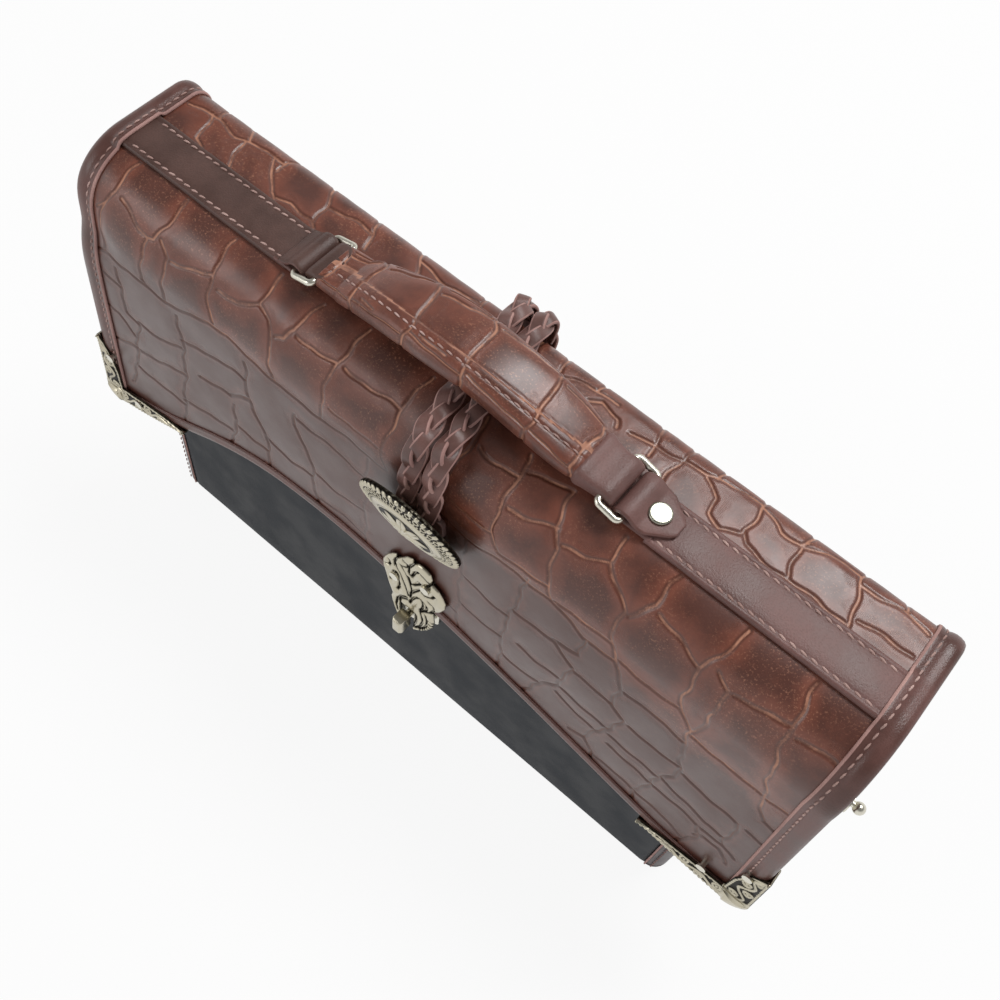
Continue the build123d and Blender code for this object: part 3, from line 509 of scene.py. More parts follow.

# %% [markdown]
# ## The crease map
# The scales run in columns down the sheet, with cross creases between them, long and narrow towards the lower
# edge. Each crease is a line drawn on the flat sheet, in `x, s`. The mesh then sinks near a line and fills
# out between the lines, and each point stores its distance to the nearest one for the shader.

# %% Crease lines
CREASES = """
-188,17 -172,15 -160,17 -151,15 -139,14 -132,13 | -176,0 -172,15 | -160,4 -154,15 | -131,0 -133,18
-176,15 -171,29 -165,31 | -155,17 -150,31 | -138,15 -127,29 -123,31 | -123,30 -116,28 -103,28 -100,31
-112,2 -104,19 -102,28 | -88,2 -79,16 -77,24 | -62,0 -52,22 | -29,0 -19,21 | -103,18 -90,16 -79,16
-56,13 -40,15 -24,13 | -12,0 -10,20 | -178,55 -179,71 -183,78 -187,82 | -149,55 -148,69 -152,78 -155,79
-148,76 -143,82 -144,98 -145,108 | -175,72 -165,76 -155,79 | -155,80 -158,94 -158,105 -155,108
-183,78 -185,92 -185,108 | -141,82 -131,78 -119,74 | -119,56 -119,75 -116,90 -114,96
-114,79 -102,77 -92,71 | -93,56 -92,71 -85,75 -82,83 -80,98 -79,104 | -70,56 -73,71 -77,77 -81,79
-71,72 -60,73 -50,72 | -47,53 -50,72 -51,90 -51,104 | -46,71 -31,71 -16,70 | -47,92 -33,93 -15,91
-15,53 -16,70 -17,90 -14,102 | -190,110 -183,108 -168,107 -155,108 -145,108 -131,104 -118,99 -106,97
-106,97 -94,102 -79,104 -64,105 -51,104 -33,102 -14,102 | -178,113 -178,133 -177,144 -170,147
-139,112 -138,133 -141,158 -145,177 -147,196 -150,212 | -170,145 -156,144 -141,138
-170,147 -176,167 -180,183 -185,200 -191,210 | -197,179 -179,171 -162,167 -143,160
-96,108 -97,125 -95,140 -86,154 -85,180 | -131,150 -110,145 -102,138 -96,134
-108,150 -107,162 -110,177 -114,192 | -66,117 -68,125 -60,135 -56,146 -55,165 -54,180
-24,104 -24,135 -24,146 -23,180 | -147,184 -130,180 -112,174 | -86,155 -70,157 -56,155
-107,166 -96,168 -86,166 | -139,131 -122,124 -106,121 -97,122 | -66,119 -48,118 -25,120
-56,150 -40,151 -24,149 | -180,188 -165,190 -147,188 | -190,125 -178,125 | -55,170 -40,168 -24,170
-200,150 -186,150 -176,160 | 6,15 10,18 20,19 27,16 40,13 48,12 | 37,19 42,16 50,18 52,22
57,21 62,19 67,18 80,16 92,15 100,12 107,10 115,10 | 6,0 6,15 | 17,0 21,19 | 36,0 38,13 | 65,0 68,18 70,23
80,0 81,16 79,30 | 92,16 99,20 100,27 107,31 | 115,0 115,23 115,27 107,31 | 115,25 119,29 132,31 137,31
115,11 125,16 134,15 136,12 | 136,0 135,15 137,30 | 136,15 144,11 152,10 159,10 163,27 165,32
138,31 150,30 164,31 | 160,0 159,10 | 166,27 177,26 189,25 | 177,0 178,12 188,14 | 161,14 170,13 178,12
95,0 96,14 | 14,52 15,62 14,79 14,98 | 35,53 39,62 38,77 40,87 46,96 | 18,63 27,64 38,63 | 40,60 50,56 58,54
58,54 60,69 66,76 68,90 73,100 | 41,75 52,72 61,69 | 67,74 77,71 85,67 83,56
85,67 94,75 99,79 100,92 103,102 109,112 113,125 113,138 | 108,56 107,69 101,79 | 110,71 121,74 133,78
138,56 137,69 133,78 134,90 135,102 137,107 144,115 | 140,74 145,79 147,94 146,108 144,115
147,79 159,76 169,73 | 168,56 170,73 173,90 177,108 181,125 186,139 | 174,77 184,75 190,75
18,88 30,90 40,88 | 46,96 59,95 69,93 | 75,99 86,99 101,97 | 107,106 119,107 135,106
146,117 163,120 178,119 | 92,138 103,138 113,139 120,147 | 80,126 92,136 91,146 88,160 82,171 77,186 72,198
120,147 118,162 111,177 110,190 115,200 118,209 | 123,148 136,149 150,150
144,115 146,135 150,150 149,162 144,179 141,200 140,215 | 114,123 127,123 145,126 | 152,153 167,156 182,157
90,160 102,162 116,165 | 118,169 132,171 145,173 | 147,171 159,174 171,178 182,177 | 90,167 102,173 111,176
120,178 132,181 143,183 | 144,183 157,183 171,186 183,184 | 182,157 182,177 183,184 190,189
171,186 173,194 171,206 169,216 | 171,196 175,191 183,190 190,200 | 102,194 110,191
117,200 136,201 152,203 169,208 | 66,153 77,154 88,153 | 181,120 190,119 | 186,139 194,139 | 186,156 196,156
61,98 59,125 57,150 59,185 58,198 | 30,104 30,117 31,146 33,179 34,192 | 59,129 70,129 80,127
31,135 45,138 58,137 | 32,160 45,161 57,160 | 59,174 70,175 80,173
14,100 30,104 46,100 60,101 73,100 90,108 107,108 | 113,138 113,139 | 92,108 92,122 80,126
5,172 20,170 33,172
"""


def crease_segments(text):
    lines = [[tuple(map(float, p.split(","))) for p in part.split()] for row in text.strip().splitlines()
             for part in row.split("|")]
    return [(a, b) for line in lines for a, b in zip(line, line[1:])]


def crease_distance(x, s, segments, wobble=1.0):
    """Distance to the nearest line, after a small wobble that makes the drawn lines natural."""
    x, s = x.ravel(), s.ravel()
    px = x + wobble * (0.7 * np.sin(s / 4.1 + x / 9.0) + 0.35 * np.sin(s / 1.9 + 1.3))
    ps = s + wobble * (0.6 * np.sin(x / 4.7 + s / 11.0) + 0.3 * np.sin(x / 2.1))
    best = np.full(px.shape, 60.0)
    for (ax, ay), (bx, by) in segments:
        dx, dy = bx - ax, by - ay
        near_box = (px > min(ax, bx) - 20) & (px < max(ax, bx) + 20) & (ps > min(ay, by)
                                                                        - 20) & (ps < max(ay, by) + 20)
        qx, qs = px[near_box], ps[near_box]
        t = np.clip(((qx - ax) * dx + (qs - ay) * dy) / (dx * dx + dy * dy + 1e-9), 0, 1)
        best[near_box] = np.minimum(best[near_box], np.hypot(qx - ax - t * dx, qs - ay - t * dy))
    return best


def scale_height(distance):
    """A narrow valley on each crease and a gently crowned scale between."""
    ridge = 0.10 * np.exp(-(((distance - 1.5) / 0.55) ** 2))
    return ridge - 0.45 * np.exp(-((distance / 0.65) ** 2)) - 0.34 * np.exp(-distance / 2.6) + 0.15


back_lines = []
for i, x0 in enumerate(np.arange(-196, 200, 19.5)):
    x1 = x0 + chance.uniform(-3, 3)
    back_lines.append(((x0, 2), (x1, -20 + chance.uniform(-3, 3))))
    back_lines.append((back_lines[-1][1], (x1 + chance.uniform(-3, 3), -37)))
    if i:
        back_lines.append((back_lines[-4][1], back_lines[-2][1]))
segments = crease_segments(CREASES) + back_lines
print("crease segments", len(segments))

# %% [markdown]
# ## The flap's hide
# The outer skin is a dense grid, because its creases are about a millimetre wide and are real shape, not just
# shading. Its inner skin is hidden by the lining, so it takes one point for every eight each way, and the rim
# joins the two with many-sided faces. In the middle of the front the hide was pressed less deeply, so `faint`
# flattens its creases there. A stored attribute marks the lower front, which the shader paints darker:
# painted shade.

# %% Flap hide
COLUMNS, ROWS, COARSE = 600, 400, 8
u = np.linspace(-1, 1, COLUMNS + 1)[None, :]
v = np.linspace(0, 1, ROWS + 1)[:, None]
foot_x = u * half_length(230.0)
foot_s = lower_edge(foot_x)
foot_s = lower_edge(u * half_length(foot_s))
hide_s = S_HINGE + (foot_s - S_HINGE) * v
hide_x = u * half_length(hide_s)
hide_crease = crease_distance(hide_x, hide_s, segments).reshape(hide_x.shape)
faint = 0.75 * bump(hide_x, 0, 40) * np.clip((hide_s - 78) / 14, 0, 1)
hide_crease = hide_crease + 0.8 * faint
# Painted shade: below a wavy line that drops towards the right end, the lower front is marked to be painted
# darker.
painted_shade_start = np.interp(hide_x, [-208, 60, 208], [97, 100, 140]) + 3.0 * np.sin(hide_x / 19.0)
painted_front_shade = np.clip((hide_s - painted_shade_start) / 12 + 0.5, 0, 1)
hide_top = on_flap(hide_x, hide_s, (scale_height(hide_crease) - 0.15) * (1 - faint))
hide_low = on_flap(hide_x[::COARSE, ::COARSE], hide_s[::COARSE, ::COARSE], -2.2)
m, cm = COLUMNS + 1, COLUMNS // COARSE + 1
rows = np.arange(ROWS)[:, None] * m + np.arange(COLUMNS)[None, :]
top_faces = np.stack([rows, rows + m, rows + m + 1, rows + 1], -1).reshape(-1, 4).tolist()
base = (ROWS + 1) * m
low_rows = np.arange(ROWS // COARSE)[:, None] * cm + np.arange(COLUMNS // COARSE)[None, :] + base
low_faces = np.stack([low_rows, low_rows + 1, low_rows + cm + 1, low_rows + cm], -1).reshape(-1, 4).tolist()
rim_faces = []
for i in range(COLUMNS // COARSE):
    near_top = [i * COARSE + k for k in range(COARSE + 1)]
    far_top = [ROWS * m + c for c in near_top]
    far_low = base + (ROWS // COARSE) * cm + i
    rim_faces += [tuple(near_top + [base + i + 1, base + i]), tuple(far_top[::-1] + [far_low, far_low + 1])]
for i in range(ROWS // COARSE):
    left_top = [(i * COARSE + k) * m for k in range(COARSE + 1)]
    right_top = [c + COLUMNS for c in left_top]
    low_left, low_right = base + i * cm, base + i * cm + cm - 1
    rim_faces += [tuple(left_top[::-1] + [low_left, low_left + cm]),
                  tuple(right_top + [low_right + cm, low_right])]
hide_values = np.concatenate([hide_crease.ravel(), np.full(hide_low.shape[0] * hide_low.shape[1], 9.0)])
hide = add_mesh("flap_hide", np.concatenate([hide_top.reshape(-1, 3), hide_low.reshape(-1, 3)]),
                top_faces + low_faces + rim_faces, [scaled_hide, inner_suede], "flap",
                {"crease": hide_values,
                 "painted_front_shade": np.concatenate([painted_front_shade.ravel(), np.zeros(hide_low[..., 0].size)])},
                [0] * len(top_faces) + [1] * len(low_faces) + [0] * len(rim_faces))
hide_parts("flap_leather")
print("hide points", len(hide.data.vertices))

# %% [markdown]
# ## The flap's lining
# A thin suede sheet is glued inside the flap. It shows only when the flap is open, so an even grid is enough.

# %% Flap lining
lining_rows = np.linspace(0, 1, 61)[:, None]
lining_u = np.linspace(-1, 1, 81)[None, :]
lining_foot = lower_edge(lining_u * half_length(lower_edge(lining_u * 206))) - 0.4
lining_s = S_HINGE + 0.1 + (lining_foot - S_HINGE - 0.1) * lining_rows
lining_x = lining_u * (half_length(lining_s) - 0.4)
lining_sheet, lining_faces = flat_pair(on_flap(lining_x, lining_s, -2.3), on_flap(lining_x, lining_s, -3.3))
flap_inside = add_mesh("flap_inside", lining_sheet, lining_faces, inner_suede, "flap")
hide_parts("flap_lining")
print("flap lining done")

# %% [markdown]
# ## Bound ends and lower edge
# A strip of plain leather is folded over each end of the flap and sewn through. Seen close, it has a fat roll
# on the outside, a row of stitches, and a thin raw edge where it lies on the scales. The section is drawn
# once as `(in from the edge, out of the face)` and carried down the end. The lower edge gets a narrower one.

# %% Bindings
END_SECTION = [(10.4, 0.05), (10.5, 0.55), (10.2, 1.15), (9.4, 1.30), (8.4, 1.22), (7.6, 0.98), (6.9, 0.90),
               (6.2, 0.98),
               (5.2, 1.45), (3.6, 1.78), (1.8, 1.75), (0.2, 1.35), (-0.9, 0.55), (-1.35, -0.6), (-1.4, -1.9),
               (-1.3, -3.2), (-0.7, -4.2), (0.5, -4.75), (3.0, -4.9), (6.9, -4.5), (10.2, -4.6), (10.5, -3.9),
               (10.4, -3.35), (5.0, -3.32), (-0.12, -3.32), (-0.12, -1.6), (-0.12, 0.05), (5.0, 0.05)]


def edge_loft(name, spots, inward, section, finishes, raw_faces, step_up=None):
    """Carries a section of (in, out) pairs along an edge given as points of the flat sheet."""
    rings = []
    for i, ((x, s), (ix, iy)) in enumerate(zip(spots, inward)):
        a = np.array([p[0] for p in section])
        out = np.array([p[1] for p in section])
        if step_up is not None:
            out = out + np.where(out > 0, np.clip((a - 4.4) / 2.4, 0, 1) * step_up[i], 0)
        rings.append(on_flap(x + ix * a, s + iy * a, out))
    points, faces = loft(rings)
    k = len(section)
    pick = [1 if (i % k) in raw_faces else 0 for i in range(len(faces) - 2)] + [0, 0]
    return add_mesh(name, points, faces, finishes, "flap", None, pick)


for side, name in ((-1, "left"), (1, "right")):
    end_s = float(lower_edge(side * 207)) - 0.5
    run = np.linspace(S_HINGE, end_s - 1.5, 190)
    spots = [(side * float(half_length(s)), s) for s in run]
    step_up = 2.0 * np.clip((13.2 - np.abs(run - 43.2)) / 2.2, 0, 1)
    inward = [(-side, 0.0)] * len(run)
    piece = edge_loft("bound_end_" + name, spots, inward, END_SECTION, [edge_hide, raw_edge], {0, 1, 2},
                      step_up)
    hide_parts("binding_" + name)
    for face, out in (("outer", 0.98), ("inner", -4.45)):
        seam_x = np.array([side * (float(half_length(s)) - 6.9) for s in run])
        out_here = out + (step_up if out > 0 else 0 * run)
        row = on_flap(seam_x, run, out_here)
        ups = unit(on_flap(seam_x, run, out_here + (1 if out > 0 else -1)) - row)
        stitches(f"end_stitches_{name}_{face}", row, ups, "flap", thread, radius=0.40)

LOWER_SECTION = [(5.4, 0.05), (5.5, 0.6), (5.1, 1.05), (4.2, 1.15), (3.4, 1.0), (2.2, 1.3), (0.8, 1.25),
                 (-0.5, 0.8),
                 (-1.15, -0.3), (-1.2, -2.0), (-1.0, -3.4), (-0.2, -4.2), (2.4, -4.5), (5.3, -4.4),
                 (5.4, -3.35),
                 (-0.1, -3.32), (-0.1, 0.05)]
lower_x = np.linspace(-200, 200, 220)
lower_s = lower_edge(lower_x)
slope = np.gradient(lower_s, lower_x)
inward = [(float(k / math.hypot(1, k)), float(-1 / math.hypot(1, k))) for k in slope]
bound_lower = edge_loft("bound_lower_edge", list(zip(lower_x, lower_s)), inward, LOWER_SECTION,
                        [edge_hide, raw_edge],
                        {0})
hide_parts("edge_binding")
print("bindings done")

# %% [markdown]
# ## Top straps
# Each strap lies along the middle of the top and dives under the bound end, so the bound end is lifted there.
# It has a rolled edge with a stitch line just inside. Towards the handle it folds round the bar of a ring.
# The right strap's tail then lies on top of it, narrows to a tongue and is held by one rivet.

# %% Straps
STRAP_S = S_TOP + (BACK_Y - BACK_R)
STRAP_SECTION = [(-10.9, 0.1), (-11.0, 0.7), (-10.75, 1.5), (-10.1, 2.05), (-9.3, 2.15), (-8.7, 1.92),
                 (-8.2, 1.68),
                 (-7.6, 1.82), (-6.6, 1.98), (-3.5, 2.04), (0, 2.06)]
STRAP_SECTION += [(-a, out) for a, out in STRAP_SECTION[-2::-1]]
STRAP_SECTION += [(6.0, 0.08), (0.0, 0.08), (-6.0, 0.08)]


def strap_band(name, side, x_near):
    runs = np.linspace(x_near, 193.5, 110)
    rings = []
    for x in runs:
        sink = 0.25 * np.clip((x - 190.5) / 3, 0, 1)
        soft = 0.12 * math.sin(x / 7.0 + side) + 0.1 * math.sin(x / 3.1)
        a = np.array([p[0] for p in STRAP_SECTION]) * (1 + 0.006 * math.sin(x / 9.0))
        out = np.array([p[1] for p in STRAP_SECTION])
        out = out + np.where(out > 1, soft * np.cos(a / 7.5) - sink, 0)
        rings.append(on_flap(side * x, STRAP_S - side * a, out))
    points, faces = loft(rings)
    # The left strap takes the darker copy of the strap leather: painted shade.
    band = add_mesh(name, points, faces, strap_hide if side > 0 else strap_hide_painted_shade, "flap")
    for edge in (-8.2, 8.2):
        row_x = side * np.linspace(x_near + 1.5, 190.0, 150)
        row = on_flap(row_x, STRAP_S + edge, 1.86)
        ups = unit(on_flap(row_x, STRAP_S + edge, 3.0) - row)
        stitches(f"{name}_stitches_{'front' if edge > 0 else 'back'}", row, ups, "flap",
                 thread,
                 radius=0.46, slant=0.2 * side)
    return band


band_right = strap_band("top_band_right", 1, 89.5)
band_left = strap_band("top_band_left", -1, 93.0)


def ribbon(name, line, half_width, thick, body, finish, edge_finish=None, swell_mid=0.0):
    """A flat leather band along a line in the XZ plane, with rounded edges and its width along Y."""
    line = np.asarray(line, float)
    t = along(line, (0, 1, 0))[0]
    normal = unit(np.stack([-t[:, 2], 0 * t[:, 0], t[:, 0]], 1))
    widths = half_width if np.ndim(half_width) else np.full(len(line), float(half_width))
    edge = 0.5 * thick
    prof = [(-1, -0.55, 0), (-1, 0.0, -0.35), (-1, 0.55, 0), (-0.93, 0.95, 0), (-0.82, 1.06, 0),
            (-0.6, 1.0, 0),
            (0, 1.0 + swell_mid, 0), (0.6, 1.0, 0), (0.82, 1.06, 0), (0.93, 0.95, 0), (1, 0.55, 0),
            (1, 0.0, 0.35),
            (1, -0.55, 0), (0.93, -0.95, 0), (0.5, -1, 0), (0, -1, 0), (-0.5, -1, 0), (-0.93, -0.95, 0)]
    rings = []
    for i, p in enumerate(line):
        rings.append([p + np.array([0, a * widths[i] + extra, 0]) + normal[i] * b * edge for a, b,
                      extra in prof])
    points, faces = loft(rings)
    k = len(prof)
    pick = [1 if (j % k) in (0, 1, 11, 12, 17) else 0 for j in range(len(faces) - 2)] + [0, 0]
    finishes = [finish, edge_finish or finish]
    return add_mesh(name, points, faces, finishes, body, None, pick)


def bend_line(corners, radius, steps=9):
    """Rounds the corners of a line of points in the XZ plane."""
    corners = [np.array(c, float) for c in corners]
    radii = radius if isinstance(radius, (list, tuple)) else [radius] * (len(corners) - 2)
    line = [corners[0]]
    for before, at, after, r in zip(corners, corners[1:], corners[2:], radii):
        r = min(r, 0.49 * np.linalg.norm(at - before), 0.49 * np.linalg.norm(after - at))
        a, b = at + unit(before - at) * r, at + unit(after - at) * r
        for t in np.linspace(0, 1, steps):
            line.append((1 - t) ** 2 * a + 2 * t * (1 - t) * at + t * t * b)
    line.append(corners[-1])
    return np.array(line)


def even(line, gap=0.8):
    run = np.concatenate([[0], np.cumsum(np.linalg.norm(np.diff(line, axis=0), axis=1))])
    at = np.linspace(0, run[-1], max(4, int(run[-1] / gap)))
    return np.stack([np.interp(at, run, line[:, i]) for i in range(3)], 1)


loop_line = [(98.0, 0, 238.2), (92.0, 0, 238.3), (84.6, 0, 238.75), (81.8, 0, 240.9), (79.6, 0, 242.0),
             (76.6, 0, 241.8), (74.6, 0, 240.0), (74.5, 0, 237.7), (76.6, 0, 236.2), (82.0, 0, 236.05),
             (91.5, 0, 236.05)]
loop_line = even(bend_line(loop_line, 1.6))
x_at = loop_line[:, 0]
upper = np.arange(len(x_at)) < int(np.argmin(x_at))
narrow = np.where(upper, np.interp(x_at, [75, 85, 88.5, 92.5, 96.2, 98], [10.9, 10.9, 10.4, 7.4, 5.2, 3.2]),
                  10.3)
tail_right = ribbon("ring_fold_right", loop_line, narrow, 1.9, "flap", strap_hide, edge_hide)
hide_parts("strap_right")
left_line = [(-96.5, 0, 236.9), (-92.0, 0, 238.5), (-89.5, 0, 241.3), (-87.2, 0, 242.1), (-84.8, 0, 241.6),
             (-83.2, 0, 239.8), (-83.3, 0, 237.5), (-85.2, 0, 236.2), (-90.0, 0, 236.05), (-99.5, 0, 236.05)]
left_line = even(bend_line(left_line, 1.8))
# The left fold also takes the darker copy of the strap leather: painted shade.
ribbon("ring_fold_left", left_line, 10.9, 1.9, "flap", strap_hide_painted_shade, edge_hide)
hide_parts("strap_left")
print("straps", len(band_right.data.vertices), len(tail_right.data.vertices))

# %% [markdown]
# ## Padded grip
# The grip is a padded core wrapped in the scaled hide. The hide's two edges overlap along the top, so a thin
# raw edge runs down its length with a stitch line beside it. The mesh is a row of rounded sections, with the
# same valley-and-crown relief as the flap, drawn in `x` and `g`, the distance round from the seam.

# %% Grip
GRIP_X, GRIP_HALF, GRIP_END_Z, GRIP_ROUND = -4.0, 60.0, 242.75, 76.0
GRIP_CREASES = """
-80,-20 -74,-8 -72,0 -73,9 -76,20 | -58,-22 -57,-12 -56,0 -55,10 -55,26
-30,-24 -30,-12 -27,0 -25,12 -26,28 | -2,-24 -3,-11 1,0 3,12 2,28 | 29,-24 30,-12 32,0 34,12 33,28
54,-20 53,-10 53,0 54,9 54,24 | -73,-5 -64,-7 -59,-11 | -71,-9 -64,-11 -59,-13 | -53,-5 -42,-7 -33,-11
-52,-10 -42,-12 -33,-13 | -26,-5 -14,-7 -5,-11 | -24,-10 -14,-12 -6,-13 | 1,-8 14,-9 28,-12
34,-8 44,-9 52,-12 | -74,11 -64,12 -56,14 | -53,12 -40,13 -27,15 | -24,11 -11,12 2,14 | 5,11 18,12 33,14
35,12 45,12 53,13 | -20,8 -12,8.5 -6,9 | -50,9 -44,9.5
"""
grip_segments = crease_segments(GRIP_CREASES)
GRIP_COLS, GRIP_ROWS = 150, 300


def grip_size(x):
    bow = np.clip(1 - ((x - GRIP_X) / GRIP_HALF) ** 2, 0, 1)
    wide = 23.0 + 8.0 * bow ** 0.6
    thick = 8.5 + 4.5 * bow ** 0.6
    middle = GRIP_END_Z + 11.5 * bow
    past = np.clip((-64 - x) / 10.5, 0, 1)
    return wide - 0.8 * past, thick - 1.2 * past, middle - 0.9 * past, bow


def grip_grid(x0, x1, rows, cols):
    xs = np.linspace(x0, x1, rows)[:, None]
    a = np.linspace(0, 2 * np.pi, cols, endpoint=False)[None, :]
    wide, thick, middle, bow = grip_size(xs)
    cy, cz = np.sin(a), np.cos(a)
    y = -(wide / 2) * np.sign(cy) * np.abs(cy) ** 0.62
    z = (thick / 2) * np.sign(cz) * np.abs(cz) ** 0.62
    g = GRIP_ROUND * a / (2 * np.pi)
    g = np.where(a > np.pi, g - GRIP_ROUND, g) + 0 * xs
    return xs + 0 * a, y, z + middle, g, bow


gx, gy, gz, gg, gbow = grip_grid(-75.2, 57.2, GRIP_ROWS, GRIP_COLS)
seam_g = 4.0 * gbow
grip_d = crease_distance(gx, gg, grip_segments).reshape(gx.shape)
seam_step = 0.42 / (1 + np.exp(-(gg - seam_g) / 0.10)) * np.exp(-np.maximum(gg - seam_g, 0)
                                                                / 12.0) * (np.abs(gg) < 25)
seam_groove = -0.35 * np.exp(-(((gg - seam_g - 2.9) / 0.55) ** 2)) - 0.3 * np.exp(-(((gg - seam_g + 0.45)
                                                                                     / 0.4) ** 2))
lift = scale_height(grip_d) * 0.9 + seam_step + seam_groove + 0.3 * np.sin(gx / 9.0 + gg / 6.0)
centre = np.stack([gx, 0 * gx, np.broadcast_to(grip_size(gx[:, :1])[2], gx.shape)], -1)
grid = np.stack([gx, gy, gz], -1)
tangent_u, tangent_a = np.gradient(grid, axis=0), np.roll(grid, -1, 1) - np.roll(grid, 1, 1)
normals = unit(np.cross(tangent_a, tangent_u))
normals *= np.sign(np.sum(normals * (grid - centre), -1, keepdims=True) + 1e-9)
grid = grid + normals * lift[..., None]
ends_in = [grid[0].mean(0) + (grid[0] - grid[0].mean(0)) * 0.55 + [1.4, 0, 0],
           grid[-1].mean(0) + (grid[-1] - grid[-1].mean(0)) * 0.55 - [1.4, 0, 0]]
rings = np.concatenate([[ends_in[0]], grid, [ends_in[1]]])
points, faces = loft(rings)
line_edge = np.where(np.abs(gg - seam_g) < 0.6, 0.25, grip_d)
values = np.concatenate([np.full(GRIP_COLS, 4.0), line_edge.ravel(), np.full(GRIP_COLS, 4.0)])
grip = add_mesh("grip_hide", points, faces, scaled_hide, "handle", {"crease": values})
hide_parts("grip_cover")
seam_row = [(x, 2.9 + 4.0 * float(grip_size(x)[3])) for x in np.linspace(-71, 56, 200)]


def grip_point(x, g, out=0.0):
    i = np.interp(x, gx[:, 0], np.arange(GRIP_ROWS))
    j = (g % GRIP_ROUND) / GRIP_ROUND * GRIP_COLS
    i0, j0 = int(min(i, GRIP_ROWS - 2)), int(j)
    p = grid[i0, j0 % GRIP_COLS] * (1 - (j - j0)) + grid[i0, (j0 + 1) % GRIP_COLS] * (j - j0)
    return p + normals[i0, j0 % GRIP_COLS] * out, normals[i0, j0 % GRIP_COLS]


row = [grip_point(x, g, 0.25) for x, g in seam_row]
stitches("grip_stitches", [p for p, n in row], [n for p, n in row], "handle", thread,
         pitch=4.6, long=3.2,
         radius=0.36)
print("grip points", len(grip.data.vertices))

# %% [markdown]
# ## Ends of the grip
# On the right the hide stops at a folded band of plain leather that goes on round the ring. On the left the
# scaled hide runs nearly to the ring, so only a short plain loop shows. Both are solid lofts along the grip.

# %% Grip ends


def nose(name, xs, tops, lows, halves, body, finish, cad_name):
    rings = []
    for x, top, low, half in zip(xs, tops, lows, halves):
        ring = []
        for a in np.linspace(0, 2 * np.pi, 40, endpoint=False):
            c, s = math.cos(a), math.sin(a)
            y = half * math.copysign(abs(s) ** 0.35, s)
            z = (top + low) / 2 + (top - low) / 2 * math.copysign(abs(c) ** 0.45, c)
            ring.append((x, y, z))
        rings.append(ring)
    points, faces = loft(rings)
    piece = add_mesh(name, points, faces, finish, body)
    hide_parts(cad_name)
    return piece


right_x = [54.6, 55.2, 56.2, 57.2, 59.5, 62.5, 65.0, 67.5, 69.5, 71.4, 72.6, 73.2, 73.4]
nose("grip_band_right", right_x,
     [246.3, 247.2, 247.75, 247.8, 246.7, 245.9, 245.7, 245.9, 245.7, 244.9, 243.6, 242.4, 241.7],
     [239.6, 238.4, 238.0, 237.95, 237.95, 237.95, 237.95, 237.95, 238.0, 238.4, 239.2, 240.3, 241.2],
     [11.0, 11.7, 12.1, 12.1, 11.5, 11.1, 10.9, 10.9, 10.9, 10.8, 10.7, 10.5, 9.6], "handle", strap_hide,
     "grip_end_right")
# The left loop takes the darker copy of the strap leather: painted shade.
nose("grip_loop_left", [-62.0, -66.0, -72.0, -75.4, -78.0, -79.8, -80.9, -81.4, -81.6],
     [244.8, 244.9, 245.0, 245.2, 245.2, 244.6, 243.5, 242.3, 241.7],
     [239.0, 238.9, 238.6, 238.2, 238.1, 238.5, 239.3, 240.4, 241.2],
     [10.0, 10.2, 10.4, 10.8, 10.8, 10.7, 10.6, 10.4, 9.5], "handle", strap_hide_painted_shade, "grip_end_left")
print("grip ends done")

# %% [markdown]
# ## Braided cords
# Two round plaits run from an anchor on the back, over the top under the grip, and down the front into the
# ornament. Each plait is three flat leather strands. A strand crosses over the middle on its way in and under
# it on its way out, so its path beside the cord's line is a sine, and its height is a sine of twice the rate.
# The cord's line is a smooth NURBS curve, and the strands follow points read from it.

# %% Braids
BRAID_X, BRAID_PITCH, BRAID_SLANT = 2.6, 11.2, 0.134
ROUTE = [(43.45, 206), (45.2, 240), (30, 242.6), (-20, 240.6), (-41.6, 236), (-42.66, 200)]


def cord_points(name, corners):
    data = bpy.data.curves.new(name, "CURVE")
    data.dimensions = "3D"
    spline = data.splines.new("NURBS")
    spline.points.add(len(corners) - 1)
    for point, corner in zip(spline.points, corners):
        point.co = (*(c * MM for c in corner), 1)
    spline.order_u = 3
    spline.use_endpoint_u = True
    data.resolution_u = 24
    holder = bpy.data.objects.new(name, data)
    mesh = bpy.data.meshes.new_from_object(holder)
    line = np.array([v.co for v in mesh.vertices]) / MM
    bpy.data.meshes.remove(mesh)
    bpy.data.objects.remove(holder)
    return even(line, 0.62)


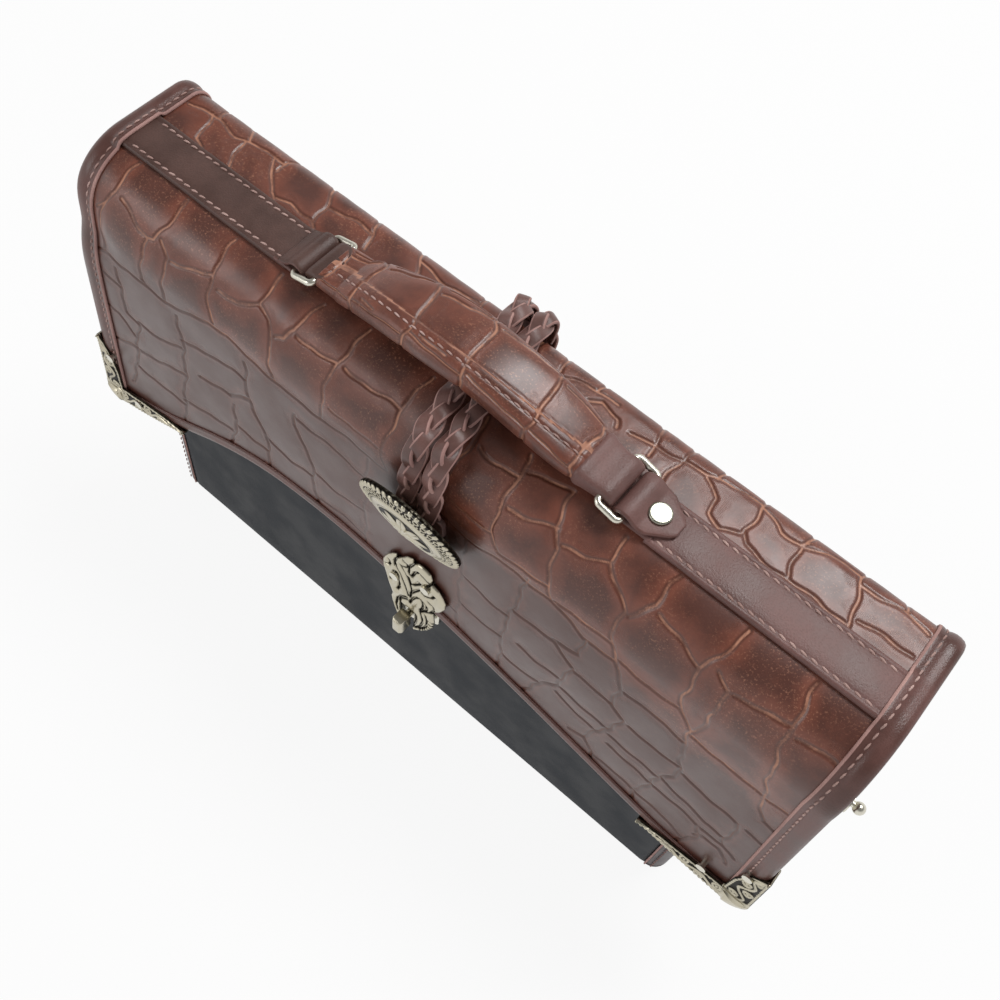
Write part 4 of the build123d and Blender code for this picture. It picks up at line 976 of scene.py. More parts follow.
def plait(name, offset, cad_name, mirror):
    corners = [(BRAID_X + offset - BRAID_SLANT * y, y, z) for y, z in ROUTE]
    line = cord_points(name + "_line", corners)
    t = unit(np.gradient(line, axis=0))
    inward = np.array([0, 2.0, 205.0])
    up = line - inward
    up[:, 0] = 0
    up = unit(up - np.sum(up * t, -1, keepdims=True) * t)
    side = np.cross(t, up)
    run = np.concatenate([[0], np.cumsum(np.linalg.norm(np.diff(line, axis=0), axis=1))])
    points, faces, pick = [], [], []
    prof = [(-1, -0.45), (-1.02, 0.1), (-0.97, 0.72), (-0.78, 1.02), (-0.5, 1.06), (0, 1.1), (0.5, 1.06),
            (0.78, 1.02),
            (0.97, 0.72), (1.02, 0.1), (1, -0.45), (0.8, -0.95), (0, -0.8), (-0.8, -0.95)]
    for strand in range(3):
        phase = mirror * 2 * np.pi * run / 42.0 + 2 * np.pi * strand / 3 + (0.6 if offset > 0 else 1.9)
        across = 2.35 * np.sin(phase)
        over = -1.75 * np.sin(2 * phase) * mirror
        path = line + side * across[:, None] + up * over[:, None]
        st = unit(np.gradient(path, axis=0))
        lean = -0.55 * np.cos(phase) * np.sign(over + 1e-6) * np.minimum(np.abs(over) / 1.0, 1) * 0.6
        roll = up + side * (0.42 * np.sin(phase) + lean * 0.35)[:, None]
        width = unit(np.cross(st, roll))
        face_up = np.cross(width, st)
        pinch = 1 - 0.12 * np.abs(np.sin(phase)) ** 4
        rings = [[path[i] + width[i] * a * 3.05 * pinch[i] + face_up[i] * b * 0.95 for a, b in prof]
                 for i in range(len(path))]
        q, f = loft(rings)
        base = sum(len(x) for x in points)
        points.append(q)
        faces += [tuple(base + v for v in face) for face in f]
        k = len(prof)
        pick += [1 if (j % k) in (0, 1, 2, 7, 8, 9) else 0 for j in range(len(f) - 2)] + [0, 0]
    made = add_mesh(name, np.concatenate(points), faces, [braid_hide, raw_edge], "flap",
                    None, pick)
    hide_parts(cad_name)
    return made, run[-1]


for name, offset, mirror in (("plait_left", -BRAID_PITCH / 2, -1), ("plait_right", BRAID_PITCH / 2, 1)):
    made, length = plait(name, offset, name.replace("plait", "braid"), mirror)
    print(name, "length in mm", round(float(length), 1))

# %% [markdown]
# ## Anchor and keeper
# On the back the cords end in a folded leather block. On the front a leather pad spaces the ornament off the
# flap and holds the cords' ends. Both are soft-edged blocks, so one function makes a block with rounded
# sides.


# %% Anchor and keeper
def soft_block(name, centre, size, power, finish, body, cad_name, lean=0.0):
    """A closed block with rounded edges and slightly full faces."""
    n, m = 36, 56
    a = np.linspace(-np.pi / 2, np.pi / 2, n + 2)[1:-1][:, None]
    b = np.linspace(0, 2 * np.pi, m, endpoint=False)[None, :]

    def shape(c):
        return np.sign(c) * np.abs(c) ** power

    x = shape(np.cos(a)) * shape(np.cos(b))
    z = shape(np.cos(a)) * shape(np.sin(b))
    y = shape(np.sin(a)) + 0 * b
    p = np.stack([x * size[0] / 2, y * size[1] / 2, z * size[2] / 2], -1)
    turned = p.copy()
    turned[..., 1] = p[..., 1] * math.cos(lean) - p[..., 2] * math.sin(lean)
    turned[..., 2] = p[..., 1] * math.sin(lean) + p[..., 2] * math.cos(lean)
    points, faces = loft(turned + np.array(centre))
    piece = add_mesh(name, points, faces, finish, body)
    if cad_name:
        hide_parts(cad_name)
    return piece


soft_block("cord_anchor", (-3.2, 43.0, 201.0), (27.4, 9.6, 10.6), 0.3, strap_hide, "flap",
           "braid_anchor")
keeper_y = float(on_flap(8.5, s_of_z(192.2), 1.7)[1])
soft_block("ornament_pad", (8.5, keeper_y, 192.2), (24.0, 3.3, 14.4), 0.25, strap_hide, "flap",
           "concho_keeper", LEAN)
print("anchor and keeper done")

# %% [markdown]
# ## Round ornament
# The ornament is a cast dome. From the rim inwards it has pale blocks, a band of chased loops and bars, a
# smooth raised ring, and a plain rosette in the middle. It is turned work, so its relief is drawn in polar
# form as a height over `r` and `a`, and the hollows are darkened by the stored attribute `hollow`.

# %% Ornament
CONCHO_R, CONCHO_DOME, CONCHO_AT, CONCHO_TILT = 26.5, 3.8, (8.5, -47.2, 194.0), math.radians(12.5)


def step(x, at, soft):
    return 1 / (1 + np.exp(-np.clip((x - at) / soft, -40, 40)))


def band(r, low, high, soft=0.12):
    return step(r, low, soft) * (1 - step(r, high, soft))


r = np.concatenate([np.linspace(0.3, 14.2, 52), np.linspace(14.4, 18.6, 18),
                    np.linspace(18.8, 26.5, 58)])[:, None]
a = np.linspace(0, 2 * np.pi, 540, endpoint=False)[None, :]
rim_blocks = 0.5 + 0.5 * np.tanh(3.2 * np.cos(46 * a))
loops = np.abs(np.hypot(((a * 34 / (2 * np.pi)) % 1 - 0.5) * 4.1, r - 21.9) - 1.25)
bars = 0.5 + 0.5 * np.tanh(3 * np.cos(68 * a))
petal = np.abs(np.cos(4 * a)) ** 0.7
petal_edge = 4.6 + 8.0 * petal
inner_petal = 2.4 + 4.6 * np.abs(np.sin(4 * a)) ** 0.8
detail = band(r, 24.0, 26.3) * (0.12 + 0.85 * rim_blocks)
detail = detail + band(r, 20.4, 23.7) * (0.55 * np.exp(-(loops / 0.42) ** 2))
detail = detail + band(r, 18.9, 20.3) * 0.45 * bars + 0.3 * np.exp(-((r - 23.95) / 0.22) ** 2)
detail = detail + 0.75 * band(r, 15.0, 18.3, 0.35) + 0.5 * np.exp(-((r - 14.1) / 0.35) ** 2)
detail = detail + band(r, 0, 13.4) * (0.7 * (1 - step(r, petal_edge, 0.35))
                                      * (0.55 + 0.45 * np.sin(np.clip(r / petal_edge, 0, 1) * 3.0)))
detail = detail - band(r, 4.2, 11.5) * 0.4 * np.exp(-(np.sin(4 * a) ** 2)
                                                    / 0.012) * (np.abs(np.cos(4 * a)) > 0.5)
detail = detail + 0.45 * (1 - step(r, inner_petal, 0.3)) + 0.7 * np.exp(-(r / 1.9) ** 2)
height = CONCHO_DOME * (1 - (r / CONCHO_R) ** 2) + detail
edge_r = r + np.where(r > 26.0, -0.55 * (1 - rim_blocks), 0)
hollow = np.clip(1.15 - detail / 0.55, 0, 1) * np.ones_like(a * r)
hollow = hollow * (1 - 0.7 * band(r, 15.0, 18.3, 0.3))
front = np.stack([edge_r * np.cos(a), edge_r * np.sin(a), height * np.ones_like(a)], -1)
rr = np.array([26.1, 20.0, 12.0, 2.6])[:, None]
back = np.stack([rr * np.cos(a), rr * np.sin(a), CONCHO_DOME * (1 - (rr / CONCHO_R) ** 2) - 1.5 + 0 * a], -1)
post = np.stack([2.5 * np.cos(a), 2.5 * np.sin(a), -5.6 + 0 * a], -1)
rings = np.concatenate([front, back, post])[::-1]
values = np.concatenate([hollow, np.full((5, hollow.shape[1]), 0.6)])[::-1]
normal = np.array([0, -math.cos(CONCHO_TILT), -math.sin(CONCHO_TILT)])
across = np.array([1.0, 0, 0])
rise = np.cross(normal, across)
world_rings = np.array(CONCHO_AT) + rings[..., :1] * across + rings[..., 1:2] * rise + rings[..., 2:] * normal
points, faces = loft(world_rings)
ornament = add_mesh("round_ornament", points, [face[::-1] for face in faces], antique, "flap",
                    {"hollow": values})
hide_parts("concho")
print("ornament points", len(points))

# %% [markdown]
# ## Cast plates
# The clasp plate is a small cast flower: lobes with rounded backs between dark cuts. The plate's outline and
# its cuts are drawn as lines in `x, z`. The plate is filled with a fine triangle mesh, and each point rises
# with its distance from the nearest line, which gives every lobe its pillow shape at once.

# %% Clasp plate
from mathutils.geometry import delaunay_2d_cdt

CLASP_OUTLINE = [(-10.6, 128.5), (-9.6, 132), (-8.0, 135.6), (-5.6, 139.2), (-3.2, 141.3), (-2.7, 138.6),
                 (-0.2, 141.9),
                 (2.6, 146.4), (6.4, 148.9), (7.2, 145.6), (9.6, 148.3), (12.0, 148.9), (14.4, 148.6),
                 (16.9, 147.2),
                 (18.2, 143.5), (17.8, 140), (19.6, 139.6), (22.4, 138.4), (25.1, 135.2), (27.0, 131.6),
                 (27.2, 127),
                 (25.4, 121.8), (22.6, 117.2), (20.8, 114.2), (21.8, 110.4), (22.6, 105), (22.0, 99),
                 (19.9, 93.6),
                 (16.8, 88.2), (12.6, 83.4), (10.7, 82.0)]
CLASP_LEFT = [(3.3, 83.2), (0.4, 86.6), (-1.7, 91.5), (-3.3, 96.4), (-4.1, 100), (-3.3, 103.4), (-4.8, 107.2),
              (-6.6, 111.6), (-8.6, 118.6), (-10.2, 123.5)]
NOTCH = [(10.7, 101.0), (3.3, 101.0)]
CLASP_CUTS = """
-5.1,115.4 -4.6,120 -3.4,124.7 -1.9,126.6 -0.9,124.5 -0.5,121.3 0.4,118.6 0.6,115 -0.5,110.9
-2.9,134.4 -2.6,132 0,128 3.4,121 6.2,113 | 0.0,136.4 2.6,132.6 5,128.7 7,124 7.9,120.7 7.4,113
-2.7,138.6 -3.6,134.6 -3.3,131.3 | 7.2,145.6 5.0,140 5.0,134.6 7.2,133.4
7.2,134.4 8.7,139.7 11.0,142.6 14,141.6 17.8,140 | 5.3,131.1 7.0,126.1 9,127.6 11.6,131.6 12.4,134
7.4,116.8 9.6,121.6 12.3,126.9 15,132.6 17.8,140 | 15.2,118.8 17.2,117.3 17.6,113.5 15.8,109.5
17.9,122.8 20.6,122.4 21.9,119 19.9,113.4
7.5,107.3 8.6,112 10.2,115.9 12.2,118.6 13.8,119.2 15.3,115.4 15,111 13.8,108.0
11.6,101 12.4,95 11.6,88.5 10.9,85 | 13.9,106.4 15.6,102.6 16.2,98 15.2,92 12.4,86.4
17.2,107.5 18.8,102.2 18.6,97 17.0,92.3 14.6,88.6 | 2.4,101 2.6,95 3.0,88
5.8,110.6 2.6,107.5 0.1,101.8 -0.4,96 0.8,90.4 | 6.2,108.6 2.0,104.6 1.6,101
20.8,114.2 16,109.6 13.9,106.4 | -8.5,127 -6.6,127.6 -5.8,130.6 -7,133 | 1.4,142 3.8,141.8 4.2,138.4 2,136.6
21,132.5 19.5,128.5 16,125.6 12.3,126.9 | 19.2,104.4 22.4,104.6 | 19.0,101.6 22.3,101.2
18.8,98.8 21.8,97.8 | 18.2,96 20.9,94.6 | 17.4,93.4 19.3,91.4 | 16.2,91 17.8,88.9 | 14.9,89 16,86.4
"""


def relief_plate(name, outline, cuts, gap, low, high, crown, place_point, finish, body, cut_width=0.42):
    """A closed plate: triangles inside an outline, raised away from its outline and cuts."""
    edge_points = []
    closed = outline + outline[:1]
    for p, q in zip(closed, closed[1:]):
        steps = max(1, int(math.dist(p, q) / (gap * 1.2)))
        edge_points += [(p[0] + (q[0] - p[0]) * i / steps, p[1] + (q[1] - p[1]) * i / steps)
                        for i in range(steps)]
    xs, zs = [p[0] for p in outline], [p[1] for p in outline]
    grid_x, grid_z = np.meshgrid(np.arange(min(xs), max(xs), gap), np.arange(min(zs), max(zs), gap))
    grid_x = grid_x + (np.arange(grid_x.shape[0])[:, None] % 2) * gap / 2
    edge_segments = list(zip(edge_points, edge_points[1:] + edge_points[:1]))
    inner = np.stack([grid_x.ravel(), grid_z.ravel()], 1)
    rim_gap = crease_distance(inner[:, 0], inner[:, 1], edge_segments, 0.0)
    inner = inner[rim_gap > gap * 0.55]
    flat = [Vector(p) for p in edge_points] + [Vector(p) for p in inner.tolist()]
    loop = [(i, (i + 1) % len(edge_points)) for i in range(len(edge_points))]
    verts, _, tris, *_ = delaunay_2d_cdt(flat, loop, [], 1, 1e-5)
    flat_points = np.array([v[:] for v in verts])
    count = {}
    for tri in tris:
        for i, j in zip(tri, tri[1:] + tri[:1]):
            key = (min(i, j), max(i, j))
            count.setdefault(key, []).append((i, j))
    rim = [pairs[0] for pairs in count.values() if len(pairs) == 1]
    used = sorted({v for tri in tris for v in tri})
    index = {v: i for i, v in enumerate(used)}
    flat_points = flat_points[used]
    to_rim = crease_distance(flat_points[:, 0], flat_points[:, 1], edge_segments, 0.0)
    to_cut = crease_distance(flat_points[:, 0], flat_points[:, 1], cuts, 0.0)
    pillow = 1 - np.exp(-np.minimum(to_cut, to_rim + 0.15) / 1.5)
    top = high + crown * pillow - 1.2 * np.exp(-((to_cut / cut_width) ** 2))
    # Patina in the cuts, and painted shade along the plate's outline.
    hollow = np.clip(np.exp(-((to_cut / (cut_width * 1.5)) ** 2)) + 0.45
                     * np.exp(-np.minimum(to_cut, to_rim) / 0.8), 0, 1)
    n = len(used)
    upper = place_point(flat_points[:, 0], flat_points[:, 1], np.where(to_rim < 1e-4, high - 0.15, top))
    lower = place_point(flat_points[:, 0], flat_points[:, 1], np.full(n, low))
    faces = [tuple(index[v] for v in tri) for tri in tris]
    faces += [tuple(n + v for v in face[::-1]) for face in list(faces)]
    faces += [(index[j], index[i], n + index[i], n + index[j]) for i, j in rim]
    piece = add_mesh(name, np.concatenate([upper, lower]), faces, finish, body,
                     {"hollow": np.concatenate([hollow, np.full(n, 0.5)])})
    fix_normals(piece)
    return piece


def on_plate(x, z, out):
    return on_flap(x, s_of_z(z), out)


clasp = relief_plate("clasp_flower", CLASP_OUTLINE + NOTCH + CLASP_LEFT, crease_segments(CLASP_CUTS), 0.42,
                     1.45, 2.0, 1.9,
                     on_plate, antique, "flap")
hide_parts("clasp_plate")
print("clasp points", len(clasp.data.vertices))

# %% [markdown]
# ## Metal corners
# Each corner is a thin cast shell folded over the bound edge. Its two arms taper to points and carry scrolls
# between raised rims, and they meet in a smooth round bead. The shell is carried along a path with an outer
# line and an inner line. Every ring is a C-shaped section with its relief on the front.

# %% Metal corners
CORNER_SEAT, CORNER_T = 1.45, 1.5


def corner_piece(side, name, corner_z, low_arm, side_arm, width_low, width_side):
    s_end = s_of_z(corner_z)
    out_x = side * float(half_length(s_end))
    grow = CORNER_SEAT + CORNER_T

    def edge_low(a):
        """The flap's lower edge, a mm in from the corner along it."""
        x = out_x - side * a
        s = float(lower_edge(x))
        k = float(lower_edge(x + 0.5) - lower_edge(x - 0.5))
        n = np.array([k, -1.0]) / math.hypot(1, k)
        return np.array([x, s]), n

    def edge_side(a):
        s = s_end - a
        return np.array([side * float(half_length(s)), s]), np.array([-side, 0.0])

    stations = []
    for a in np.linspace(side_arm, 9.0, 90):
        p, n = edge_side(a)
        w = width_side * np.interp(a, [0, 12, 26, 40, side_arm], [0.95, 1.0, 0.92, 0.62, 0.12])
        stations.append((p - n * grow, p + n * (w - grow), n, a, 1.0))
    p_side, n_side = edge_side(9.0)
    p_low, n_low = edge_low(9.0)
    for t in np.linspace(0, 1, 26)[1:-1]:
        p0, p3 = p_side - n_side * grow, p_low - n_low * grow
        reach = 9.0 + grow
        d0, d3 = np.array([0.0, 1.0]) * reach * 0.56, np.array([side, 0.0]) * reach * 0.56
        left = 1 - t
        p = left ** 3 * p0 + 3 * left ** 2 * t * (p0 + d0) + 3 * left * t * t * (p3 + d3) + t ** 3 * p3
        q0, q3 = p_side + n_side * (width_side * 0.97 - grow), p_low + n_low * (width_low * 0.97 - grow)
        q = (1 - t) * q0 + t * q3
        bulge = np.array([out_x - side * width_side, s_end - width_low]) - (q0 + q3) / 2
        q = q + bulge * 4 * t * (1 - t) * 0.5
        n = unit(q - p)
        stations.append((p, q, n, 0.0, 0.0))
    for a in np.linspace(9.0, low_arm, 110):
        p, n = edge_low(a)
        w = width_low * np.interp(a, [0, 14, 30, 46, low_arm], [0.95, 0.95, 0.80, 0.50, 0.1])
        stations.append((p - n * grow, p + n * (w - grow), n, a, 2.0))
    rings, hollow = [], []
    v_front = np.linspace(0, 1, 26)
    for p, q, n, a, arm in stations:
        w = math.dist(p, q)
        b = v_front * w
        fade = np.clip(w / 6.0, 0, 1)
        rims = np.exp(-((b - 0.9) / 0.55) ** 2) + np.exp(-((w - b - 0.8) / 0.5) ** 2)
        rope = 0.75 + 0.25 * np.cos(a * 2.6 + b * 1.5)
        if arm:
            mid = w * 0.5 + 0.2 * w * np.sin(a / 2.9)
            vine = np.exp(-((b - mid) / 0.62) ** 2)
            ring_a = ((a / 9.1) % 1 - 0.5) * 9.1
            ring_b = b - w * (0.5 - 0.17 * np.sign(np.sin(a / 2.9)))
            dist = np.hypot(ring_a, ring_b)
            volute = np.exp(-((dist - 2.0) / 0.5) ** 2) + 0.9 * np.exp(-(dist / 0.7) ** 2)
            inside = step(b, 1.7, 0.2) * (1 - step(b, w - 1.6, 0.2))
            relief = 0.75 * rims * rope + inside * np.clip(vine + volute, 0, 1.1) * 0.95 * fade
            near_bead = np.clip((12.5 - a) / 3.0, 0, 1)
            relief = relief * (1 - near_bead) + 0.5 * near_bead
        else:
            relief = 0.6 + 1.8 * np.sin(np.pi * np.clip(v_front, 0, 1)) ** 0.7
            relief = relief - 0.5 * np.exp(-(((v_front - 0.08) / 0.05) ** 2))
        hollow.append(np.clip(1 - relief / 0.55, 0, 1) * (1.0 if arm else 0.0))
        xs, ss = p[0] + (q[0] - p[0]) * v_front, p[1] + (q[1] - p[1]) * v_front
        arch = 0.5 * np.sin(np.pi * v_front)
        front = on_flap(xs, ss, CORNER_SEAT + 0.9 + relief + arch)
        wall = min(0.45, CORNER_T / max(w, 0.1))
        back_out = -PLY - CORNER_SEAT

        def at(v, out):
            return on_flap(p[0] + (q[0] - p[0]) * v, p[1] + (q[1] - p[1]) * v, out)

        rest = [at(1.0, CORNER_SEAT), at(wall, CORNER_SEAT), at(wall, back_out), at(1.0, back_out),
                at(1.0, back_out - 1.0), at(0.6, back_out - 1.4), at(0.15, back_out - 1.3),
                at(0.0, back_out - 0.6),
                at(0.0, -2.0)]
        rings.append(np.concatenate([front, np.array(rest)]))
    points, faces = loft(rings)
    values = np.concatenate([np.concatenate([h, np.full(9, 0.4)]) for h in hollow])
    piece = add_mesh(name, points, faces, antique, "flap", {"hollow": values})
    fix_normals(piece)
    return piece


corner_left = corner_piece(-1, "metal_corner_left", 66.0, 58.0, 50.0, 12.0, 13.0)
corner_right = corner_piece(1, "metal_corner_right", 76.0, 58.0, 46.0, 11.5, 14.0)
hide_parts("corner_left")
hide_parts("corner_right")
print("corners", len(corner_left.data.vertices))

# %% [markdown]
# ## The case under the flap
# The case is a soft navy box: a front and a back panel, a bottom, and a gusset that wraps each end and shows
# a seam on the front. Each is a thin sheet with two faces, laid on the box's outer form, and swells by under
# a millimetre as hide does between its seams.

# %% Case form
BODY_HALF, FOOT_Y, BODY_BACK_Y, CORNER_R, FOOT_R, SEAM_X = 175.0, -38.5, 34.4, 8.5, 4.0, 166.5
RIM_FRONT_Z, RIM_BACK_Z, SKIN = 196.0, 226.0, 1.6
RIM_Y = -32.9
FRONT_RISE = (RIM_Y - FOOT_Y) / RIM_FRONT_Z


def rim_z(y):
    return RIM_FRONT_Z + (RIM_BACK_Z - RIM_FRONT_Z) * np.clip((y - RIM_Y) / (BODY_BACK_Y - RIM_Y), 0, 1)


def body_front_y(z):
    return FOOT_Y + FRONT_RISE * np.asarray(z, float)


def foot_inset(z):
    z = np.clip(z, 0, FOOT_R)
    return FOOT_R - np.sqrt(np.maximum(FOOT_R ** 2 - (FOOT_R - z) ** 2, 0))


def ring_xy(z, inset, corners=10):
    """One closed turn round the case at a height, as x and y, from the middle of the front."""
    y0, y1 = float(body_front_y(z)) + inset, BODY_BACK_Y - inset
    x1, r = BODY_HALF - inset, max(CORNER_R - inset, 0.6)
    quarter = np.linspace(0, np.pi / 2, corners)
    pts = [(x, y0) for x in np.linspace(0, x1 - r, 24)[:-1]]
    pts += [(x1 - r + r * math.sin(a), y0 + r - r * math.cos(a)) for a in quarter]
    pts += [(x1, y) for y in np.linspace(y0 + r, y1 - r, 16)[1:-1]]
    pts += [(x1 - r + r * math.cos(a), y1 - r + r * math.sin(a)) for a in quarter]
    pts += [(x, y1) for x in np.linspace(x1 - r, -(x1 - r), 47)[1:-1]]
    pts += [(-(x1 - r) - r * math.sin(a), y1 - r + r * math.cos(a)) for a in quarter]
    pts += [(-x1, y) for y in np.linspace(y1 - r, y0 + r, 16)[1:-1]]
    pts += [(-(x1 - r) - r * math.cos(a), y0 + r - r * math.sin(a)) for a in quarter]
    pts += [(x, y0) for x in np.linspace(-(x1 - r), 0, 24)[1:-1]]
    return np.array(pts)


def panel(name, back, cad_name):
    xs = np.linspace(-SEAM_X, SEAM_X, 121)[None, :]
    t = np.linspace(0, 1, 70)[:, None]
    top = (RIM_BACK_Z if back else RIM_FRONT_Z) + 0 * xs
    z = FOOT_R * 0.02 + (top - FOOT_R * 0.02) * t ** 1.15
    soft = 0.35 * np.sin(xs / 37 + z / 51 + (2 if back else 0)) + 0.25 * np.sin(xs / 19 - z / 33)
    soft = soft * np.clip(z / 25, 0, 1) * np.clip((top - z) / 20, 0, 1) * np.clip((SEAM_X - np.abs(xs)) / 18,
                                                                                  0, 1)
    roll = -0.55 * np.exp(-((SEAM_X - np.abs(xs)) / 1.6) ** 2)
    y_out = np.where(back, BODY_BACK_Y - foot_inset(z) + soft + roll, body_front_y(z) + foot_inset(z) - soft
                     - roll)
    y_in = np.where(back, BODY_BACK_Y - SKIN - foot_inset(z) * 0.6, body_front_y(z) + SKIN + foot_inset(z)
                    * 0.6)
    outer, inner = np.stack([xs + 0 * z, y_out, z], -1), np.stack([xs + 0 * z, y_in, z + 0.4 * (z < 1)], -1)
    points, faces = flat_pair(inner, outer) if back else flat_pair(outer, inner)
    piece = add_mesh(name, points, faces, navy_hide, "case")
    fix_normals(piece)
    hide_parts(cad_name)
    return piece


panel("front_wall", False, "front_panel")
panel("back_wall", True, "back_panel")
xs = np.linspace(-170.9, 170.9, 61)[None, :]
v = np.linspace(-1, 1, 25)[:, None]
mid_y, half_y = (FOOT_Y + BODY_BACK_Y) / 2, (BODY_BACK_Y - FOOT_Y) / 2 - FOOT_R
floor_z = 0.02 + 0 * xs + 0 * v
low = np.stack([xs + 0 * v, mid_y + half_y * v + 0 * xs, floor_z], -1)
points, faces = flat_pair(low + [0, 0, SKIN], low)
under = add_mesh("case_bottom", points, faces, navy_hide, "case")
fix_normals(under)
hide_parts("bottom_panel")


def gusset(name, side, cad_name):
    foot_rows, wall_rows = np.linspace(0.02, FOOT_R, 8), np.linspace(0, 1, 60)
    turn_round = [p for p in ring_xy(100.0, 0.0) if p[0] * side >= SEAM_X - 0.01][::side]
    outer, inner = [], []
    for k in range(68):
        row_out, row_in = [], []
        for x_, y_ in turn_round:
            z = foot_rows[k] if k < 8 else FOOT_R + (float(rim_z(y_)) - FOOT_R) * wall_rows[k - 8]
            inset = float(foot_inset(z))
            y0_ref, y0 = float(body_front_y(100.0)), float(body_front_y(z))
            share = (BODY_BACK_Y - y_) / (BODY_BACK_Y - y0_ref)
            y_ = BODY_BACK_Y - share * (BODY_BACK_Y - y0)
            mx, my = side * (BODY_HALF - CORNER_R), min(max(y_, y0 + CORNER_R), BODY_BACK_Y - CORNER_R)
            nx, ny = x_ - mx, y_ - my
            length = math.hypot(nx, ny) or 1
            nx, ny = nx / length, ny / length
            fold = 0.5 * math.sin(z / 33.0) * math.exp(-((y_ + 2) / 22) ** 2) * min(z / 30, 1)
            cut = inset - fold
            row_out.append((x_ - nx * cut, y_ - ny * cut, z))
            row_in.append((x_ - nx * (inset * 0.7 + SKIN), y_ - ny * (inset * 0.7 + SKIN), max(z, 0.5)))
        outer.append(row_out)
        inner.append(row_in)
    points, faces = flat_pair(np.array(outer), np.array(inner))
    piece = add_mesh(name, points, faces, gusset_hide, "case")
    fix_normals(piece)
    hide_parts(cad_name)
    seam = []
    for z in np.linspace(3.0, RIM_FRONT_Z - 1, 90):
        seam.append((side * (SEAM_X + 0.1), float(body_front_y(z)) - 0.05, z))
    seam = np.array(seam)
    ring_a = np.linspace(0, 2 * np.pi, 8, endpoint=False)
    tube = [[p + np.array([0.55 * math.cos(a), 0.45 * math.sin(a), 0]) for a in ring_a] for p in seam]
    q, f = loft(tube)
    fix_normals(add_mesh(name + "_edge", q, f, raw_edge, "case"))
    row = seam + [side * 3.2, -0.05, 0]
    stitches(name + "_stitches", row, (0, -1, 0), "case", dark_thread, radius=0.36)
    return piece


gusset("gusset_wrap_left", -1, "gusset_left")
gusset("gusset_wrap_right", 1, "gusset_right")
print("case shell done")

# %% [markdown]
# ## Inside the case
# A cloth-covered liner stands inside the boards, and one divider makes two rooms. The liner is one skin that
# goes up its outside, over its rim and down its inside, so it has no open edge.

# %% Lining and divider
rings = []
for share, inset, t in [(0.02, 4, 0), (0.5, 4, 0), (1, 3.6, 0)] + [(1, 3.45, t)
                                                                   for t in np.linspace(0.01, 1, 24)]:
    base = ring_xy(60.0, inset)
    mid = base.mean(0)
    xy = mid + (base - mid) * share
    top = rim_z(xy[:, 1]) - 1.0
    z = 3.5 + (top - 3.5) * t
    rings.append(np.stack([xy[:, 0], xy[:, 1] + (FRONT_RISE * (z - 60)) * (xy[:, 1] < -2) * share, z], -1))
for share, inset, t in [(1, 4.15, t) for t in np.linspace(1, 0.01, 24)] + [(1, 4.6, 0), (0.5, 4.6, 0),
                                                                           (0.02, 4.6, 0)]:
    base = ring_xy(60.0, inset)
    mid = base.mean(0)
    xy = mid + (base - mid) * share
    top = rim_z(xy[:, 1]) - 1.0
    z = 4.3 + (top - 4.3) * t
    rings.append(np.stack([xy[:, 0], xy[:, 1] + (FRONT_RISE * (z - 60)) * (xy[:, 1] < -2) * share, z], -1))
points, faces = loft(rings)
liner = add_mesh("cloth_liner", points, faces, lining_cloth, "case")
fix_normals(liner)
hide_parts("inner_lining")
xs, zs = np.linspace(-170, 170, 90)[None, :], np.linspace(4.9, 172, 50)[:, None]
wave = 0.12 * np.sin(xs / 30 + zs / 40)
sheet = np.stack([xs + 0 * zs, -2.05 + wave, zs + 0 * xs], -1)
edge_thin = 0.9 - 0.35 * np.exp(-((172 - zs) / 0.8) ** 2) + 0 * xs
points, faces = flat_pair(sheet - np.stack([0 * edge_thin, edge_thin, 0 * edge_thin], -1),
                          sheet + np.stack([0 * edge_thin, edge_thin, 0 * edge_thin], -1))
wall = add_mesh("middle_wall", points, faces, lining_cloth, "case")
fix_normals(wall)
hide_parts("divider")
print("inside done")

# %% [markdown]
# ## Back lip
# Below the hinge line the scaled hide carries on down the back as a sewn lip. It has its own creases, drawn
# by a loop with a little chance in each, because the photograph doesn't show them.

# %% Back lip
lip_lines = []
for x0 in np.arange(-160, 165, 19.5):
    a0, a1, a2 = x0 + chance.uniform(-3, 3), x0 + chance.uniform(-4, 4), x0 + chance.uniform(-4, 4)
    lip_lines += [((a0, 191), (a1, 171 + chance.uniform(-4, 4))), ((a1, 171), (a2, 149)),
                  ((a2, 149), (a0, 126))]
    lip_lines += [((a1, 171), (a1 + 19.5, 171 + chance.uniform(-4, 4))),
                  ((a2, 150), (a2 + 19.5, 150 + chance.uniform(-3, 3)))]
xs, zs = np.linspace(-169, 169, 400)[None, :], np.linspace(128, 189.7, 80)[:, None]
gx2, gz2 = xs + 0 * zs, zs + 0 * xs
lip_d = crease_distance(gx2, gz2, lip_lines).reshape(gx2.shape)
edge = np.minimum(169 - np.abs(gx2), gz2 - 128)
relief = scale_height(lip_d) - 0.15 - 0.9 * np.exp(-(edge / 0.9) ** 2) - 0.3 * np.exp(-((edge - 3.0)
                                                                                        / 0.5) ** 2)
face_out = np.stack([gx2, 38.0 + relief, gz2], -1)
face_in = np.stack([gx2, 34.75 + 0 * gz2, gz2], -1)
points, faces = flat_pair(face_out, face_in)
lip = add_mesh("back_lip_hide", points, faces, scaled_hide, "case",
               {"crease": np.concatenate([lip_d.ravel(), np.full(lip_d.size, 8.0)])})
fix_normals(lip)
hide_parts("back_lip")
low_line = np.array([(x, 37.75, 131.0) for x in np.linspace(-165.5, 165.5, 200)])
stitches("lip_stitches_low", low_line, (0, 1, 0), "case", thread)
